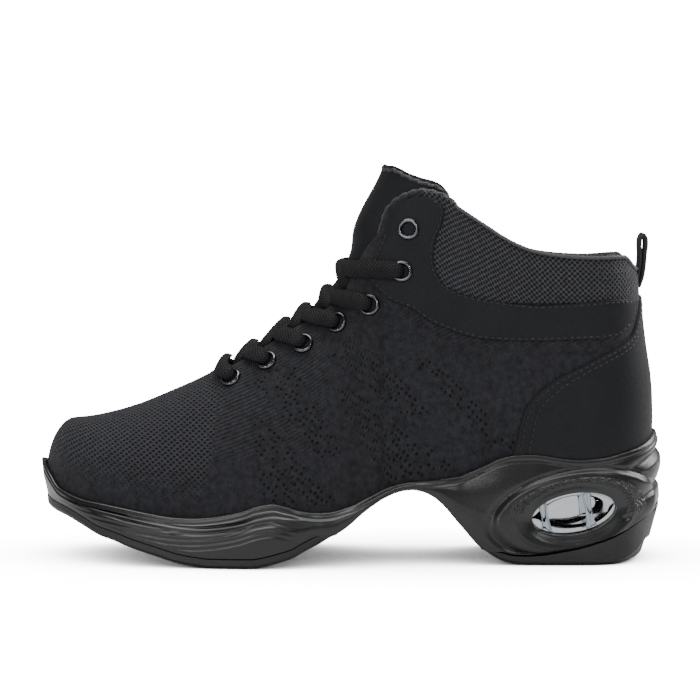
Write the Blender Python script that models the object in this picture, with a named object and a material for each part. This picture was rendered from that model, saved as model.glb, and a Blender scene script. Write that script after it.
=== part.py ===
"""High-top dance sneaker, left shoe, standing empty on its sole.

Metres, +Z up. The toe points to -X and the outer (little toe) side faces -Y.
The origin is the centre of the shoe's box, on the floor. Every piece is worked out
from one last: a form given by sections from toe to heel, with a fan of sections
round the heel. Table values are shares of the named sizes.
"""
import math

import bpy
import bmesh
import numpy as np
from mathutils import Matrix, Vector

# Driving sizes of the last
LAST_LENGTH = 0.2574
BALL_WIDTH = 0.0850
HEEL_WIDTH = 0.0630
TOE_ROUND_PLAN = 0.045
TOE_ROUND_SIDE = 0.012
HEEL_CENTRE = 0.0310
INSTEP_HEIGHT = 0.1100
ROUNDNESS = 2.2

# Driving sizes of the sole
FOREFOOT_BED = 0.0140
HEEL_BED = 0.0388
TOE_SPRING = 0.0245
ARCH_HEIGHT = 0.0320
LIP_HEIGHT = 0.0125
FLANGE = 0.0055
LIP_THICKNESS = 0.0023
FORE_TREAD = 0.0040
HEEL_TREAD = 0.0035
HEEL_TREAD_RISE = 0.0155
TREAD_GROOVE = 0.0018
GROOVE_WIDTH = 0.0026
POD_LENGTH = 0.0680
POD_HEIGHT = 0.0330
POD_RAISE = 0.0016
POD_TILT = math.radians(10)
CELL_LENGTH = 0.0352
CELL_HEIGHT = 0.0168
CELL_RECESS = 0.0035
CELL_FROM_BACK = 0.0335
CELL_CENTRE_HEIGHT = 0.0218

# Driving sizes of the upper and its pieces
UPPER_WALL = 0.0022
COLLAR_PAD = 0.0045
COLLAR_PUFF = 0.0014
COLLAR_HEIGHT = 0.1296
OVERLAY = 0.0010
TONGUE_THICKNESS = 0.0050
TONGUE_HEIGHT = 0.1665
INSOLE_THICKNESS = 0.0032
EYELET_RADIUS = 0.0045
EYELET_BORE = 0.0027
BARREL_WALL = 0.0004
EYELET_RISE = 0.0011
EYELET_SEAT = 0.0009
LACE_WIDTH = 0.0064
LACE_THICKNESS = 0.0024
LACE_CLEAR = 0.0010
LOOP_HEIGHT = 0.0255
LOOP_WIDTH = 0.0110
LOOP_PLY = 0.0014
GAP = 0.0003
SEAT = 0.0005

TOE_X = -LAST_LENGTH / 2 - 0.0015
LINE_SHIFT = 0.0005
SIDES = (-1, 1)

# Station along the last, centre line towards the big toe, half widths outer and inner
# (shares of the local width), share of the heel's width in it, and section shape
PLAN = np.array([
    # station, centre, outer, inner, heel share, shape
    (0.000, 0.094, 0.445, 0.390, 0.0, 2.30),
    (0.060, 0.088, 0.452, 0.392, 0.0, 2.25),
    (0.118, 0.076, 0.466, 0.398, 0.0, 2.10),
    (0.196, 0.059, 0.504, 0.430, 0.0, 1.85),
    (0.273, 0.041, 0.530, 0.462, 0.0, 1.60),
    (0.332, 0.029, 0.540, 0.465, 0.0, 1.45),
    (0.390, 0.018, 0.532, 0.447, 0.0, 1.35),
    (0.468, 0.006, 0.502, 0.412, 0.15, 1.28),
    (0.545, 0.000, 0.500, 0.400, 0.45, 1.25),
    (0.623, 0.000, 0.498, 0.412, 0.75, 1.25),
    (0.700, 0.000, 0.496, 0.440, 1.0, 1.28),
    (0.778, 0.000, 0.496, 0.470, 1.0, 1.30),
    (0.880, 0.000, 0.500, 0.492, 1.0, 1.30),
    (1.000, 0.000, 0.500, 0.492, 1.0, 1.30),
])
# Station and height of the ridge, as a share of the instep height. Past the
# instep it is the line that the front of the shaft follows, carried on upwards
RIDGE = np.array([
    (0.000, 0.523), (0.042, 0.532), (0.075, 0.540), (0.108, 0.556), (0.142, 0.578),
    (0.175, 0.606), (0.208, 0.639), (0.266, 0.702), (0.318, 0.782), (0.356, 0.839),
    (0.402, 0.915), (0.450, 1.000), (0.476, 1.056), (0.494, 1.118), (0.514, 1.255),
    (0.531, 1.390), (0.547, 1.500), (0.584, 1.740), (0.662, 2.200), (0.740, 2.700),
    (0.880, 3.600), (1.000, 4.200),
])
# Station, bed rise (share of the heel's rise over the forefoot), toe lift (share of toe spring)
BED = np.array([
    (0.000, 0.0, 0.82), (0.034, 0.0, 0.53), (0.069, 0.0, 0.388), (0.102, 0.0, 0.306),
    (0.153, 0.0, 0.204), (0.202, 0.0, 0.114), (0.250, 0.0, 0.049), (0.293, 0.0, 0.012),
    (0.332, 0.000, 0.0), (0.378, 0.012, 0.0), (0.429, 0.065, 0.0), (0.4755, 0.185, 0.0),
    (0.5066, 0.331, 0.0), (0.5225, 0.456, 0.0), (0.5466, 0.645, 0.0), (0.5711, 0.766, 0.0),
    (0.5874, 0.815, 0.0), (0.6037, 0.839, 0.0), (0.6426, 0.862, 0.0), (0.6768, 0.887, 0.0),
    (0.7242, 0.900, 0.0), (0.7710, 0.927, 0.0), (0.818, 0.960, 0.0), (0.880, 0.980, 0.0),
    (1.000, 1.000, 0.0),
])
# Station and height of the cup's lip over the bed, as a share of the lip height
LIP = np.array([
    (0.000, 0.660), (0.017, 0.480), (0.034, 0.300), (0.069, 0.304), (0.102, 0.352),
    (0.153, 0.376), (0.202, 0.376), (0.250, 0.440), (0.290, 0.576), (0.330, 0.768),
    (0.355, 0.936), (0.380, 1.000), (0.403, 0.864), (0.426, 0.672), (0.458, 0.464),
    (0.475, 0.384), (0.4988, 0.320), (0.5225, 0.200), (0.5466, 0.070), (0.5711, 0.052),
    (0.5874, 0.056), (0.6193, 0.050), (0.6527, 0.060), (0.6768, 0.085), (0.7008, 0.250),
    (0.7253, 0.464), (0.749, 0.660), (0.774, 0.735), (0.798, 0.720), (0.822, 0.650),
    (0.847, 0.550), (0.880, 0.475), (0.912, 0.520), (0.945, 0.660), (0.972, 0.830),
    (0.990, 1.050), (1.000, 1.300),
])
# Station, toe lift (share of toe spring) and arch lift (share of arch height) of the sole's underside
UNDERSIDE = np.array([
    (0.000, 0.920, 0.0), (0.015, 0.850, 0.0), (0.048, 0.750, 0.0), (0.077, 0.620, 0.0),
    (0.1025, 0.495, 0.0), (0.128, 0.420, 0.0), (0.160, 0.300, 0.0), (0.192, 0.196, 0.0),
    (0.2325, 0.073, 0.0), (0.266, 0.016, 0.0), (0.282, 0.000, 0.0), (0.3465, 0.000, 0.0),
    (0.366, 0.0, 0.025), (0.3945, 0.0, 0.087), (0.4105, 0.0, 0.137), (0.4265, 0.0, 0.212),
    (0.4425, 0.0, 0.275), (0.4585, 0.0, 0.337), (0.4745, 0.0, 0.412), (0.4905, 0.0, 0.487),
    (0.5066, 0.0, 0.587), (0.5225, 0.0, 0.703), (0.539, 0.0, 0.803), (0.5515, 0.0, 0.870),
    (0.5645, 0.0, 0.925), (0.579, 0.0, 0.970), (0.592, 0.0, 0.992), (0.605, 0.0, 1.000),
    (0.616, 0.0, 0.985), (0.629, 0.0, 0.950), (0.6453, 0.0, 0.866), (0.660, 0.0, 0.750),
    (0.676, 0.0, 0.597), (0.6923, 0.0, 0.453), (0.7133, 0.0, 0.269), (0.7327, 0.0, 0.150),
    (0.749, 0.0, 0.072), (0.765, 0.0, 0.028), (0.7813, 0.0, 0.009), (0.800, 0.0, 0.000),
    (0.9145, 0.0, 0.000), (0.942, 0.028, 0.0), (0.969, 0.082, 0.0), (1.000, 0.160, 0.0),
])
# Station and how far the heel's tread has risen at its back, as a share of its rise
TREAD_RISE = np.array([
    (0.770, 0.00), (0.8135, 0.04), (0.8446, 0.12), (0.8757, 0.22), (0.9068, 0.38),
    (0.9378, 0.57), (0.9728, 0.84), (1.000, 1.00),
])
# Height over the floor (share of the collar height) and the shaft's width there,
# and how far the back of the heel leans in (share of the heel centre)
SHAFT = np.array([
    # height, width, back
    (0.290, 1.000, 0.985), (0.390, 1.045, 1.012), (0.460, 1.050, 1.016), (0.530, 1.040, 1.010),
    (0.600, 1.020, 0.987), (0.665, 1.000, 0.945), (0.730, 0.992, 0.906), (0.800, 0.995, 0.874),
    (0.860, 1.005, 0.861), (0.920, 1.015, 0.845), (0.970, 1.020, 0.815), (1.040, 1.030, 0.800),
    (1.400, 1.050, 0.790),
])
# Station and half width of the throat's opening, as a share of the ball's width
THROAT = np.array([
    (0.300, 0.105), (0.330, 0.118), (0.375, 0.124), (0.430, 0.134), (0.480, 0.152),
    (0.512, 0.178), (0.538, 0.212), (0.552, 0.224), (0.566, 0.205), (0.600, 0.205),
])
THROAT_START = 0.2880
THROAT_ROUND = 0.012
# Station and height of the collar's crest, as a share of the collar height
COLLAR = np.array([
    (0.5560, 1.100), (0.5600, 1.130), (0.5670, 1.152), (0.5760, 1.172), (0.5880, 1.187),
    (0.6050, 1.201), (0.6210, 1.208), (0.6380, 1.204), (0.6530, 1.195), (0.6700, 1.175),
    (0.6850, 1.154), (0.7016, 1.132), (0.7180, 1.111), (0.7340, 1.090), (0.7502, 1.069),
    (0.7770, 1.040), (0.8096, 1.017), (0.8434, 1.006), (0.8757, 1.001), (0.9087, 0.999),
    (0.9573, 1.000), (1.0000, 0.996),
])
COLLAR_DROP = 0.0013
RIM = 0.5
# Depth down the sole's side and how far it stands out there, as shares of the flange
WALL = np.array([
    # depth, toe, side, back, grooves at the forefoot, grooves at the heel's back
    (0.00, 0.38, 0.44, 0.52, 0.00, 0.00),
    (0.07, 0.42, 0.52, 0.66, 0.00, 0.00),
    (0.16, 0.41, 0.66, 0.74, 0.00, 0.10),
    (0.21, 0.39, 0.74, 0.70, 0.14, 0.24),
    (0.27, 0.37, 0.82, 0.80, 0.00, 0.10),
    (0.34, 0.34, 0.88, 0.94, 0.12, 0.00),
    (0.46, 0.28, 0.93, 1.02, 0.00, 0.00),
    (0.58, 0.20, 0.96, 0.98, 0.00, 0.12),
    (0.66, 0.15, 0.96, 0.92, 0.00, 0.22),
    (0.74, 0.10, 0.95, 0.98, 0.00, 0.04),
    (0.88, 0.03, 0.92, 1.02, 0.00, 0.00),
    (1.00, -0.03, 0.86, 0.90, 0.00, 0.00),
])
# Eyelets, from the toe up: station, and height as a share of the instep height
EYELETS = np.array([
    (0.3112, 0.7018), (0.3695, 0.7686), (0.4289, 0.8355), (0.4852, 0.9164), (0.5377, 0.9873),
    (0.5905, 1.1145), (0.6018, 1.2736),
])
OVERLAID_EYELETS = 2
# Height over the ridge at which each eyelet's laces cross, as a share of the instep height
CROSSINGS = np.array([0.727, 0.811, 0.909, 0.9655, 1.026, 1.091])
# Eyestay and collar band: rows from the tab's top round its foot to the heel.
# Station and height (share of the collar height) of its outer and its inner edge
BAND = np.array([
    (0.6130, 1.187, 0.6250, 1.189),
    (0.5880, 1.168, 0.6440, 1.177),
    (0.5745, 1.136, 0.6590, 1.148),
    (0.5675, 1.100, 0.6550, 1.097),
    (0.5590, 1.050, 0.6451, 1.049),
    (0.5495, 1.005, 0.6417, 0.991),
    (0.5400, 0.960, 0.6480, 0.936),
    (0.5385, 0.922, 0.6609, 0.898),
    (0.5522, 0.887, 0.6750, 0.884),
    (0.5716, 0.856, 0.6900, 0.870),
    (0.6040, 0.831, 0.7174, 0.857),
    (0.6363, 0.786, 0.7497, 0.848),
    (0.7010, 0.738, 0.7800, 0.842),
    (0.7495, 0.726, 0.8144, 0.838),
    (0.8141, 0.723, 0.8500, 0.842),
    (0.8640, 0.726, 0.8794, 0.847),
    (0.8890, 0.728, 0.9050, 0.851),
    (0.9127, 0.730, 0.9296, 0.855),
    (0.9265, 0.733, 0.9415, 0.856),
    (0.9400, 0.736, 0.9530, 0.856),
    (0.9580, 0.766, 0.9700, 0.853),
])
# Heel counter: station, or past 1 the turn round the heel, and height (share of the
# collar height) of its front edge
COUNTER = np.array([
    (0.7703, 0.359), (0.7767, 0.408), (0.7817, 0.456), (0.7899, 0.504), (0.8012, 0.536),
    (0.8174, 0.565), (0.8384, 0.597), (0.8711, 0.632), (0.8925, 0.652), (0.9125, 0.672),
    (0.9300, 0.690), (0.9472, 0.707),
    (0.9651, 0.737), (0.9750, 0.784), (1.8000, 0.815), (1.9000, 0.846), (2.0000, 0.862),
])
# Tongue: station, and the heights (shares of the tongue's height) of its side edge and of its top edge
TONGUE = np.array([
    (0.2700, 0.440, 0.440), (0.3000, 0.440, 0.600), (0.3500, 0.470, 0.700), (0.4000, 0.510, 0.800),
    (0.4500, 0.560, 0.900), (0.5000, 0.630, 1.100), (0.5300, 0.690, 1.100), (0.5560, 0.740, 1.005),
    (0.5700, 0.765, 1.004), (0.5900, 0.800, 0.990), (0.6200, 0.845, 0.972), (0.6500, 0.880, 0.958),
    (0.6620, 0.896, 0.942), (0.6700, 0.906, 0.915),
])


def smooth(table, column, at):
    """Monotone cubic through one column of a table, read at the stations given."""
    x = table[:, 0]
    y = table[:, column]
    step = np.diff(x)
    slope = np.diff(y) / step
    tangent = np.zeros_like(y)
    tangent[0] = slope[0]
    tangent[-1] = slope[-1]
    same = slope[:-1] * slope[1:] > 0
    w1 = 2 * step[1:] + step[:-1]
    w2 = step[1:] + 2 * step[:-1]
    with np.errstate(divide="ignore", invalid="ignore"):
        mean = (w1 + w2) / (w1 / slope[:-1] + w2 / slope[1:])
    tangent[1:-1] = np.where(same, mean, 0.0)
    at = np.clip(np.asarray(at, float), x[0], x[-1])
    k = np.clip(np.searchsorted(x, at) - 1, 0, len(step) - 1)
    u = (at - x[k]) / step[k]
    return (
        y[k] * (1 + 2 * u) * (1 - u) ** 2
        + y[k + 1] * u * u * (3 - 2 * u)
        + step[k] * u * (1 - u) * (tangent[k] * (1 - u) - tangent[k + 1] * u)
    )


def rounding(distance, length):
    """Share of the full size that a rounded end has reached at a distance from its tip."""
    left = np.clip(1 - distance / length, 0, 1)
    return (1 - left ** ROUNDNESS) ** (1 / ROUNDNESS)


def ease(value):
    """Smooth step from 0 to 1."""
    value = np.clip(value, 0, 1)
    return value * value * (3 - 2 * value)


def station_x(station):
    return TOE_X + station * LAST_LENGTH


HEEL_STATION = 1 - HEEL_CENTRE / LAST_LENGTH
HEEL_X = station_x(HEEL_STATION)


def bed_height(station):
    rise = (HEEL_BED - FOREFOOT_BED) * smooth(BED, 1, station)
    return FOREFOOT_BED + rise + TOE_SPRING * smooth(BED, 2, station)


def lip_height(station):
    return bed_height(station) + LIP_HEIGHT * smooth(LIP, 1, station)


def underside_height(station):
    return TOE_SPRING * smooth(UNDERSIDE, 1, station) + ARCH_HEIGHT * smooth(UNDERSIDE, 2, station)


def ridge_height(station):
    bed = bed_height(station)
    full = INSTEP_HEIGHT * smooth(RIDGE, 1, station)
    return bed + (full - bed) * rounding(station * LAST_LENGTH, TOE_ROUND_SIDE)


def collar_height(station):
    return COLLAR_HEIGHT * smooth(COLLAR, 1, station)


def centre_line(station):
    return LINE_SHIFT + BALL_WIDTH * smooth(PLAN, 1, station)


def half_width(station, side):
    """Half width at the bed, from the centre line to one side."""
    heel = smooth(PLAN, 4, station)
    local = BALL_WIDTH * (1 - heel) + HEEL_WIDTH * heel
    share = smooth(PLAN, 2 if side < 0 else 3, station)
    return local * share * rounding(station * LAST_LENGTH, TOE_ROUND_PLAN)


def pad_share(station, height):
    """1 in the padded collar over the band, 0 away from it."""
    low = COLLAR_HEIGHT * 0.86
    up = ease((height - low) / (COLLAR_HEIGHT * 0.09))
    return up * ease((station - 0.672) / 0.035)


def side_width(station, height, side):
    """Half width of the last at a height, before the section closes towards the ridge."""
    level = height / COLLAR_HEIGHT
    shaft = 1 + (smooth(SHAFT, 1, level) - 1) * ease((station - 0.45) / 0.25)
    edge = collar_height(np.maximum(station, COLLAR[0, 0]))
    band = COLLAR_HEIGHT * 0.87
    puff = np.sin(math.pi * np.clip((height - band) / (edge - band), 0, 1))
    return half_width(station, side) * shaft + COLLAR_PUFF * puff * ease((station - 0.66) / 0.04)


def share_up(station, height):
    bed = bed_height(station)
    return np.clip((height - bed) / np.maximum(ridge_height(station) - bed, 1e-6), 0, 1)


def angle_at(station, height):
    """The section's own angle at a height: 0 at the bed and a right angle at the ridge."""
    shape = smooth(PLAN, 5, station)
    return np.arcsin(np.clip(share_up(station, height) ** (shape / 2), 0, 1))


def heel_back(height):
    return HEEL_CENTRE * smooth(SHAFT, 2, height / COLLAR_HEIGHT)


def last_point(turn, height, side):
    """A point of the last's skin. Turn runs 0 to 1 from the toe to the heel's centre,
    and 1 to 2 round the heel to its back."""
    station = HEEL_STATION * min(turn, 1.0)
    closing = math.cos(angle_at(station, height))
    wide = side_width(station, height, side) * closing
    centre = centre_line(station)
    if turn <= 1:
        return Vector((station_x(station), centre + side * wide, height))
    angle = (turn - 1) * math.pi / 2
    power = 2 / ROUNDNESS
    along = heel_back(height) * math.sin(angle) ** power
    across = wide * max(math.cos(angle), 0) ** power
    return Vector((HEEL_X + along, centre + side * across, height))


def turn_at(station, height):
    """The turn at which the skin reaches a station, at a height."""
    if station <= HEEL_STATION:
        return station / HEEL_STATION
    share = (station - HEEL_STATION) * LAST_LENGTH / heel_back(height)
    return 1 + math.asin(min(share, 1.0) ** (ROUNDNESS / 2)) * 2 / math.pi


def skin_level(point):
    """Zero on the last's skin and positive outside it."""
    x, y, z = point
    station = min((x - TOE_X) / LAST_LENGTH, HEEL_STATION)
    off = y - centre_line(station)
    side = 1 if off >= 0 else -1
    off = abs(off)
    wide = side_width(station, z, side)
    if x <= HEEL_X:
        shape = smooth(PLAN, 5, station)
        bed = bed_height(station)
        up = (z - bed) / max(ridge_height(station) - bed, 1e-6)
        return (off / max(wide, 1e-6)) ** 2 + np.sign(up) * abs(up) ** shape - 1
    wide *= math.cos(angle_at(station, z))
    return ((x - HEEL_X) / heel_back(z)) ** ROUNDNESS + (off / wide) ** ROUNDNESS - 1


def skin_normal(point):
    """Outward direction of the last's skin, from the gradient of its level."""
    tip = point.x - TOE_X
    if tip < 0.0002:
        return Vector((-1, 0, 0))
    h = min(0.0004, tip * 0.3)
    slopes = []
    for axis in range(3):
        step = Vector((0, 0, 0))
        step[axis] = h
        slopes.append(skin_level(point + step) - skin_level(point - step))
    return Vector(slopes).normalized()


def offset_point(turn, height, side, out):
    """The skin's point, moved out along its normal."""
    point = last_point(turn, height, side)
    return point + skin_normal(point) * out


def new_object(name, mesh, material, smooth_angle=40):
    mesh.materials.append(material)
    mesh.shade_smooth()
    mesh.set_sharp_from_angle(angle=math.radians(smooth_angle))
    obj = bpy.data.objects.new(name, mesh)
    SHOE.objects.link(obj)
    return obj


def mesh_from(name, points, faces):
    """Points and faces made a mesh, with coincident points merged and normals turned out."""
    mesh = bpy.data.meshes.new(name)
    mesh.from_pydata([tuple(p) for p in points], [], faces)
    work = bmesh.new()
    work.from_mesh(mesh)
    bmesh.ops.remove_doubles(work, verts=work.verts, dist=2e-6)
    bmesh.ops.dissolve_degenerate(work, edges=work.edges, dist=1e-6)
    bmesh.ops.triangulate(work, faces=work.faces)
    bmesh.ops.recalc_face_normals(work, faces=work.faces)
    if work.calc_volume(signed=True) < 0:
        bmesh.ops.reverse_faces(work, faces=work.faces)
    work.to_mesh(mesh)
    work.free()
    return mesh


def loft(name, rings, closed=False, cap_ends=True):
    """A solid through rings of equal length, each ring a closed loop of points."""
    count = len(rings[0])
    points = [p for ring in rings for p in ring]
    faces = []
    last = len(rings) if closed else len(rings) - 1
    for i in range(last):
        a = i * count
        b = ((i + 1) % len(rings)) * count
        for j in range(count):
            k = (j + 1) % count
            faces.append((a + j, a + k, b + k, b + j))
    if cap_ends and not closed:
        faces.append(tuple(range(count)))
        end = (len(rings) - 1) * count
        faces.append(tuple(end + j for j in range(count)))
    return mesh_from(name, points, faces)


def round_stations(count):
    """Stations over the rounded toe, close together at its tip."""
    power = 2 / ROUNDNESS
    angles = [k * math.pi / 2 / count for k in range(count + 1)]
    return [(1 - math.cos(a) ** power) * TOE_ROUND_PLAN / LAST_LENGTH for a in angles]


def outline_turns(stations, fan):
    """Turns for the stations up to the heel's centre, then a fan round the heel."""
    turns = [s / HEEL_STATION for s in stations if s < HEEL_STATION - 0.004]
    return turns + [1 + k / fan for k in range(fan + 1)]


def loop_of(turns):
    """Turn and side pairs round the whole shoe: outer side toe to heel, inner side back."""
    outer = [(t, -1) for t in turns]
    inner = [(t, 1) for t in reversed(turns[1:-1])]
    return outer + inner


def top_height(turn, side):
    """Height of the upper's top edge: ridge, throat edge or collar's crest."""
    station = HEEL_STATION * min(turn, 1.0)
    if turn > 1:
        angle = (turn - 1) * math.pi / 2
        back = heel_back(COLLAR_HEIGHT) * math.sin(angle) ** (2 / ROUNDNESS)
        station = HEEL_STATION + back / LAST_LENGTH
    drop = COLLAR_DROP * (side > 0) * float(ease((0.97 - station) / 0.08))
    if turn > 1:
        return float(collar_height(station)) - drop
    if station <= THROAT_START:
        return float(ridge_height(station))
    half = BALL_WIDTH * smooth(THROAT, 1, station)
    half *= min(1.0, (station - THROAT_START) / THROAT_ROUND) ** 0.5
    full = half_width(station, side) * 1.01
    shape = smooth(PLAN, 5, station)
    share = (1 - min(half / full, 1) ** 2) ** (1 / shape)
    bed = bed_height(station)
    edge = bed + (ridge_height(station) - bed) * share
    if station < COLLAR[0, 0]:
        return float(edge)
    return float(min(edge, collar_height(station) - drop))


def wall_at(station, height):
    return UPPER_WALL + COLLAR_PAD * pad_share(station, height)


def build_upper():
    """One hollow wall, open underneath, at the throat and at the collar."""
    stations = round_stations(6)
    stations += [0.210, 0.250, THROAT_START]
    stations += [THROAT_START + THROAT_ROUND * k for k in (0.14, 0.5, 1.0)]
    stations += [0.335, 0.372, 0.410, 0.448, 0.482, 0.510, 0.532, 0.547]
    stations += [0.556, 0.564, 0.575, 0.590, 0.610, 0.630, 0.650, 0.670, 0.690, 0.715]
    stations += [0.745, 0.780, 0.820]
    turns = outline_turns(stations, 7)
    rows = 8
    rings = []
    for turn, side in loop_of(turns):
        station = HEEL_STATION * min(turn, 1.0)
        low = float(bed_height(floor_station(turn, side))) + GAP
        crest = top_height(turn, side)
        open_top = turn > 1 or station > THROAT_START + 1e-6
        rise = RIM * float(wall_at(station, crest)) if open_top else 0.0
        top = crest - rise
        shape = float(smooth(PLAN, 5, station))
        start = float(angle_at(station, low))
        end = float(angle_at(station, top))
        bed = float(bed_height(station))
        tall = float(ridge_height(station)) - bed
        power = 1 + (shape / 2 - 1) * (1 - end / (math.pi / 2))
        outer = []
        inner = []
        for j in range(rows + 1):
            angle = start + (end - start) * (j / rows) ** power
            height = low + (top - low) * j / rows if turn > 1 else bed + tall * math.sin(angle) ** (2 / shape)
            point = last_point(turn, height, side)
            outer.append(point)
            inner.append(point - skin_normal(point) * float(wall_at(station, height)))
        rim = (outer[-1] + inner[-1]) / 2
        if open_top:
            edge = (outer[-1] - outer[-2]).normalized()
            rim += edge * rise
        rings.append((outer, rim, inner, open_top))
    points = []
    for outer, rim, inner, _ in rings:
        points += outer + [rim] + inner
    width = 2 * (rows + 1) + 1
    faces = []
    for i, ring in enumerate(rings):
        k = (i + 1) % len(rings)
        a = i * width
        b = k * width
        inside = rows + 2
        for j in range(rows):
            faces.append((a + j, b + j, b + j + 1, a + j + 1))
            faces.append((a + inside + j, a + inside + j + 1, b + inside + j + 1, b + inside + j))
        faces.append((a, a + inside, b + inside, b))
        if ring[3] or rings[k][3]:
            faces.append((a + rows, b + rows, b + rows + 1, a + rows + 1))
            faces.append((a + rows + 1, b + rows + 1, b + 2 * rows + 2, a + 2 * rows + 2))
    return new_object("upper", mesh_from("upper", points, faces), KNIT)


def outline_normal(turn, side, height):
    """Outward direction of the outline in plan, at a height."""
    if turn == 0:
        return Vector((-1, 0, 0))
    step = min(0.004, turn * 0.4)
    before = last_point(turn - step, height, side)
    if turn + step <= 2:
        after = last_point(turn + step, height, side)
    else:
        after = last_point(4 - turn - step, height, -side)
    along = after - before
    return Vector((along.y, -along.x, 0)).normalized() * (1 if side < 0 else -1)


def outline_stations():
    stations = round_stations(6)
    stations += [0.210, 0.245, 0.285, 0.325, 0.360, 0.395, 0.425, 0.455, 0.478]
    stations += [0.505, 0.530, 0.555, 0.580, 0.604, 0.628, 0.648, 0.668, 0.688, 0.704]
    stations += [0.728, 0.750, 0.775, 0.805, 0.838]
    return stations


def floor_station(turn, side):
    """The station that a point of the outline lies at."""
    if turn <= 1:
        return HEEL_STATION * turn
    point = last_point(turn, HEEL_BED, side)
    return min((point.x - TOE_X) / LAST_LENGTH, 1.0)


def tread_height(station):
    """Thickness of the tread under the midsole, with the heel's piece rising at its back."""
    if station < 0.60:
        return FORE_TREAD
    return HEEL_TREAD + HEEL_TREAD_RISE * float(smooth(TREAD_RISE, 1, station))


def midsole_underside(station):
    """Underside of the midsole: over the treads, and bare in the arch."""
    low = float(underside_height(station))
    if station <= FORE_TREAD_END + STEP / 2 or station >= HEEL_TREAD_START - STEP / 2:
        return low + float(tread_height(station)) + GAP
    return low


FORE_TREAD_END = 0.4850
HEEL_TREAD_START = 0.7160
STEP = 0.0004


def wall_offset(depth_row, turn, station):
    """How far the sole's side stands out at a row of its wall table."""
    row = WALL[depth_row]
    toe = 1 - ease(station / 0.16)
    back = ease((turn - 1.15) / 0.6)
    side = 1 - toe - back
    arch = math.exp(-((station - 0.61) / 0.055) ** 2)
    out = toe * row[1] + side * row[2] * (1 - 0.35 * arch) + back * row[3]
    forefoot = ease((station - 0.03) / 0.06) * ease((0.44 - station) / 0.08)
    out -= row[4] * forefoot + row[5] * ease((turn - 1.25) / 0.4)
    return out * FLANGE


def pod_raise(x, z):
    """The oval pod that stands out from the heel's side round the air cell."""
    cx = station_x(1) - CELL_FROM_BACK + 0.001
    cz = CELL_CENTRE_HEIGHT + 0.0005
    along = (x - cx) * math.cos(POD_TILT) + (z - cz) * math.sin(POD_TILT)
    up = (z - cz) * math.cos(POD_TILT) - (x - cx) * math.sin(POD_TILT)
    reach = math.hypot(along / (POD_LENGTH / 2), up / (POD_HEIGHT / 2))
    return POD_RAISE * float(ease((1.08 - reach) / 0.16))


def build_midsole():
    """The moulded cup: bed, lip, ribbed side with the heel's pod, and underside."""
    stations = outline_stations()
    stations += [FORE_TREAD_END, FORE_TREAD_END + STEP, HEEL_TREAD_START - STEP, HEEL_TREAD_START]
    turns = outline_turns(sorted(stations), 9)
    rings = []
    for turn, side in loop_of(turns):
        station = floor_station(turn, side)
        bed = float(bed_height(station))
        lip = float(lip_height(station))
        low = midsole_underside(station)
        normal = outline_normal(turn, side, bed)
        foot = last_point(turn, bed, side)
        clear = GAP * 1.6
        column = []
        column.append(Vector((foot.x, foot.y, bed)) + normal * clear)
        for share in (0.5, 1.0):
            level = bed + (lip - bed) * share
            column.append(last_point(turn, level, side) + normal * clear)
        edge = last_point(turn, lip, side)
        for k in range(len(WALL)):
            depth = WALL[k, 0]
            level = lip - (lip - low) * depth
            base = last_point(turn, max(level, bed), side)
            base = edge.lerp(base, min(depth * 2, 1))
            point = base + normal * max(wall_offset(k, turn, station), -0.004)
            point.z = level - (0.0 if k else 0.0004)
            point += normal * (pod_raise(point.x, point.z) * (1 if 0.05 < depth < 0.97 else 0.3))
            if k == 0:
                point = edge + normal * (clear + LIP_THICKNESS * 0.8)
                point.z = lip - 0.0005
            column.append(point)
        bottom = column[-1].copy()
        inward = min(0.0012, (lip - low) * 0.2)
        column[-1].z += inward
        column.append(bottom - normal * 0.0014)
        rings.append(column)
    width = len(rings[0])
    count = len(rings)
    points = [p for ring in rings for p in ring]
    faces = []
    for i in range(count):
        k = (i + 1) % count
        for j in range(width - 1):
            faces.append((i * width + j, k * width + j, k * width + j + 1, i * width + j + 1))
    half = len(turns)
    for i in range(half - 1):
        a, b = i, i + 1
        c, d = (count - i) % count, (count - i - 1) % count
        for row in (0, width - 1):
            faces.append(tuple(dict.fromkeys((a * width + row, b * width + row, d * width + row, c * width + row))))
    mesh = mesh_from("midsole", points, faces)
    midsole = new_object("midsole", mesh, FOAM, 30)
    cut(midsole, [cell_solid("cell_tunnel", GAP, 0.09)])
    return midsole


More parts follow.
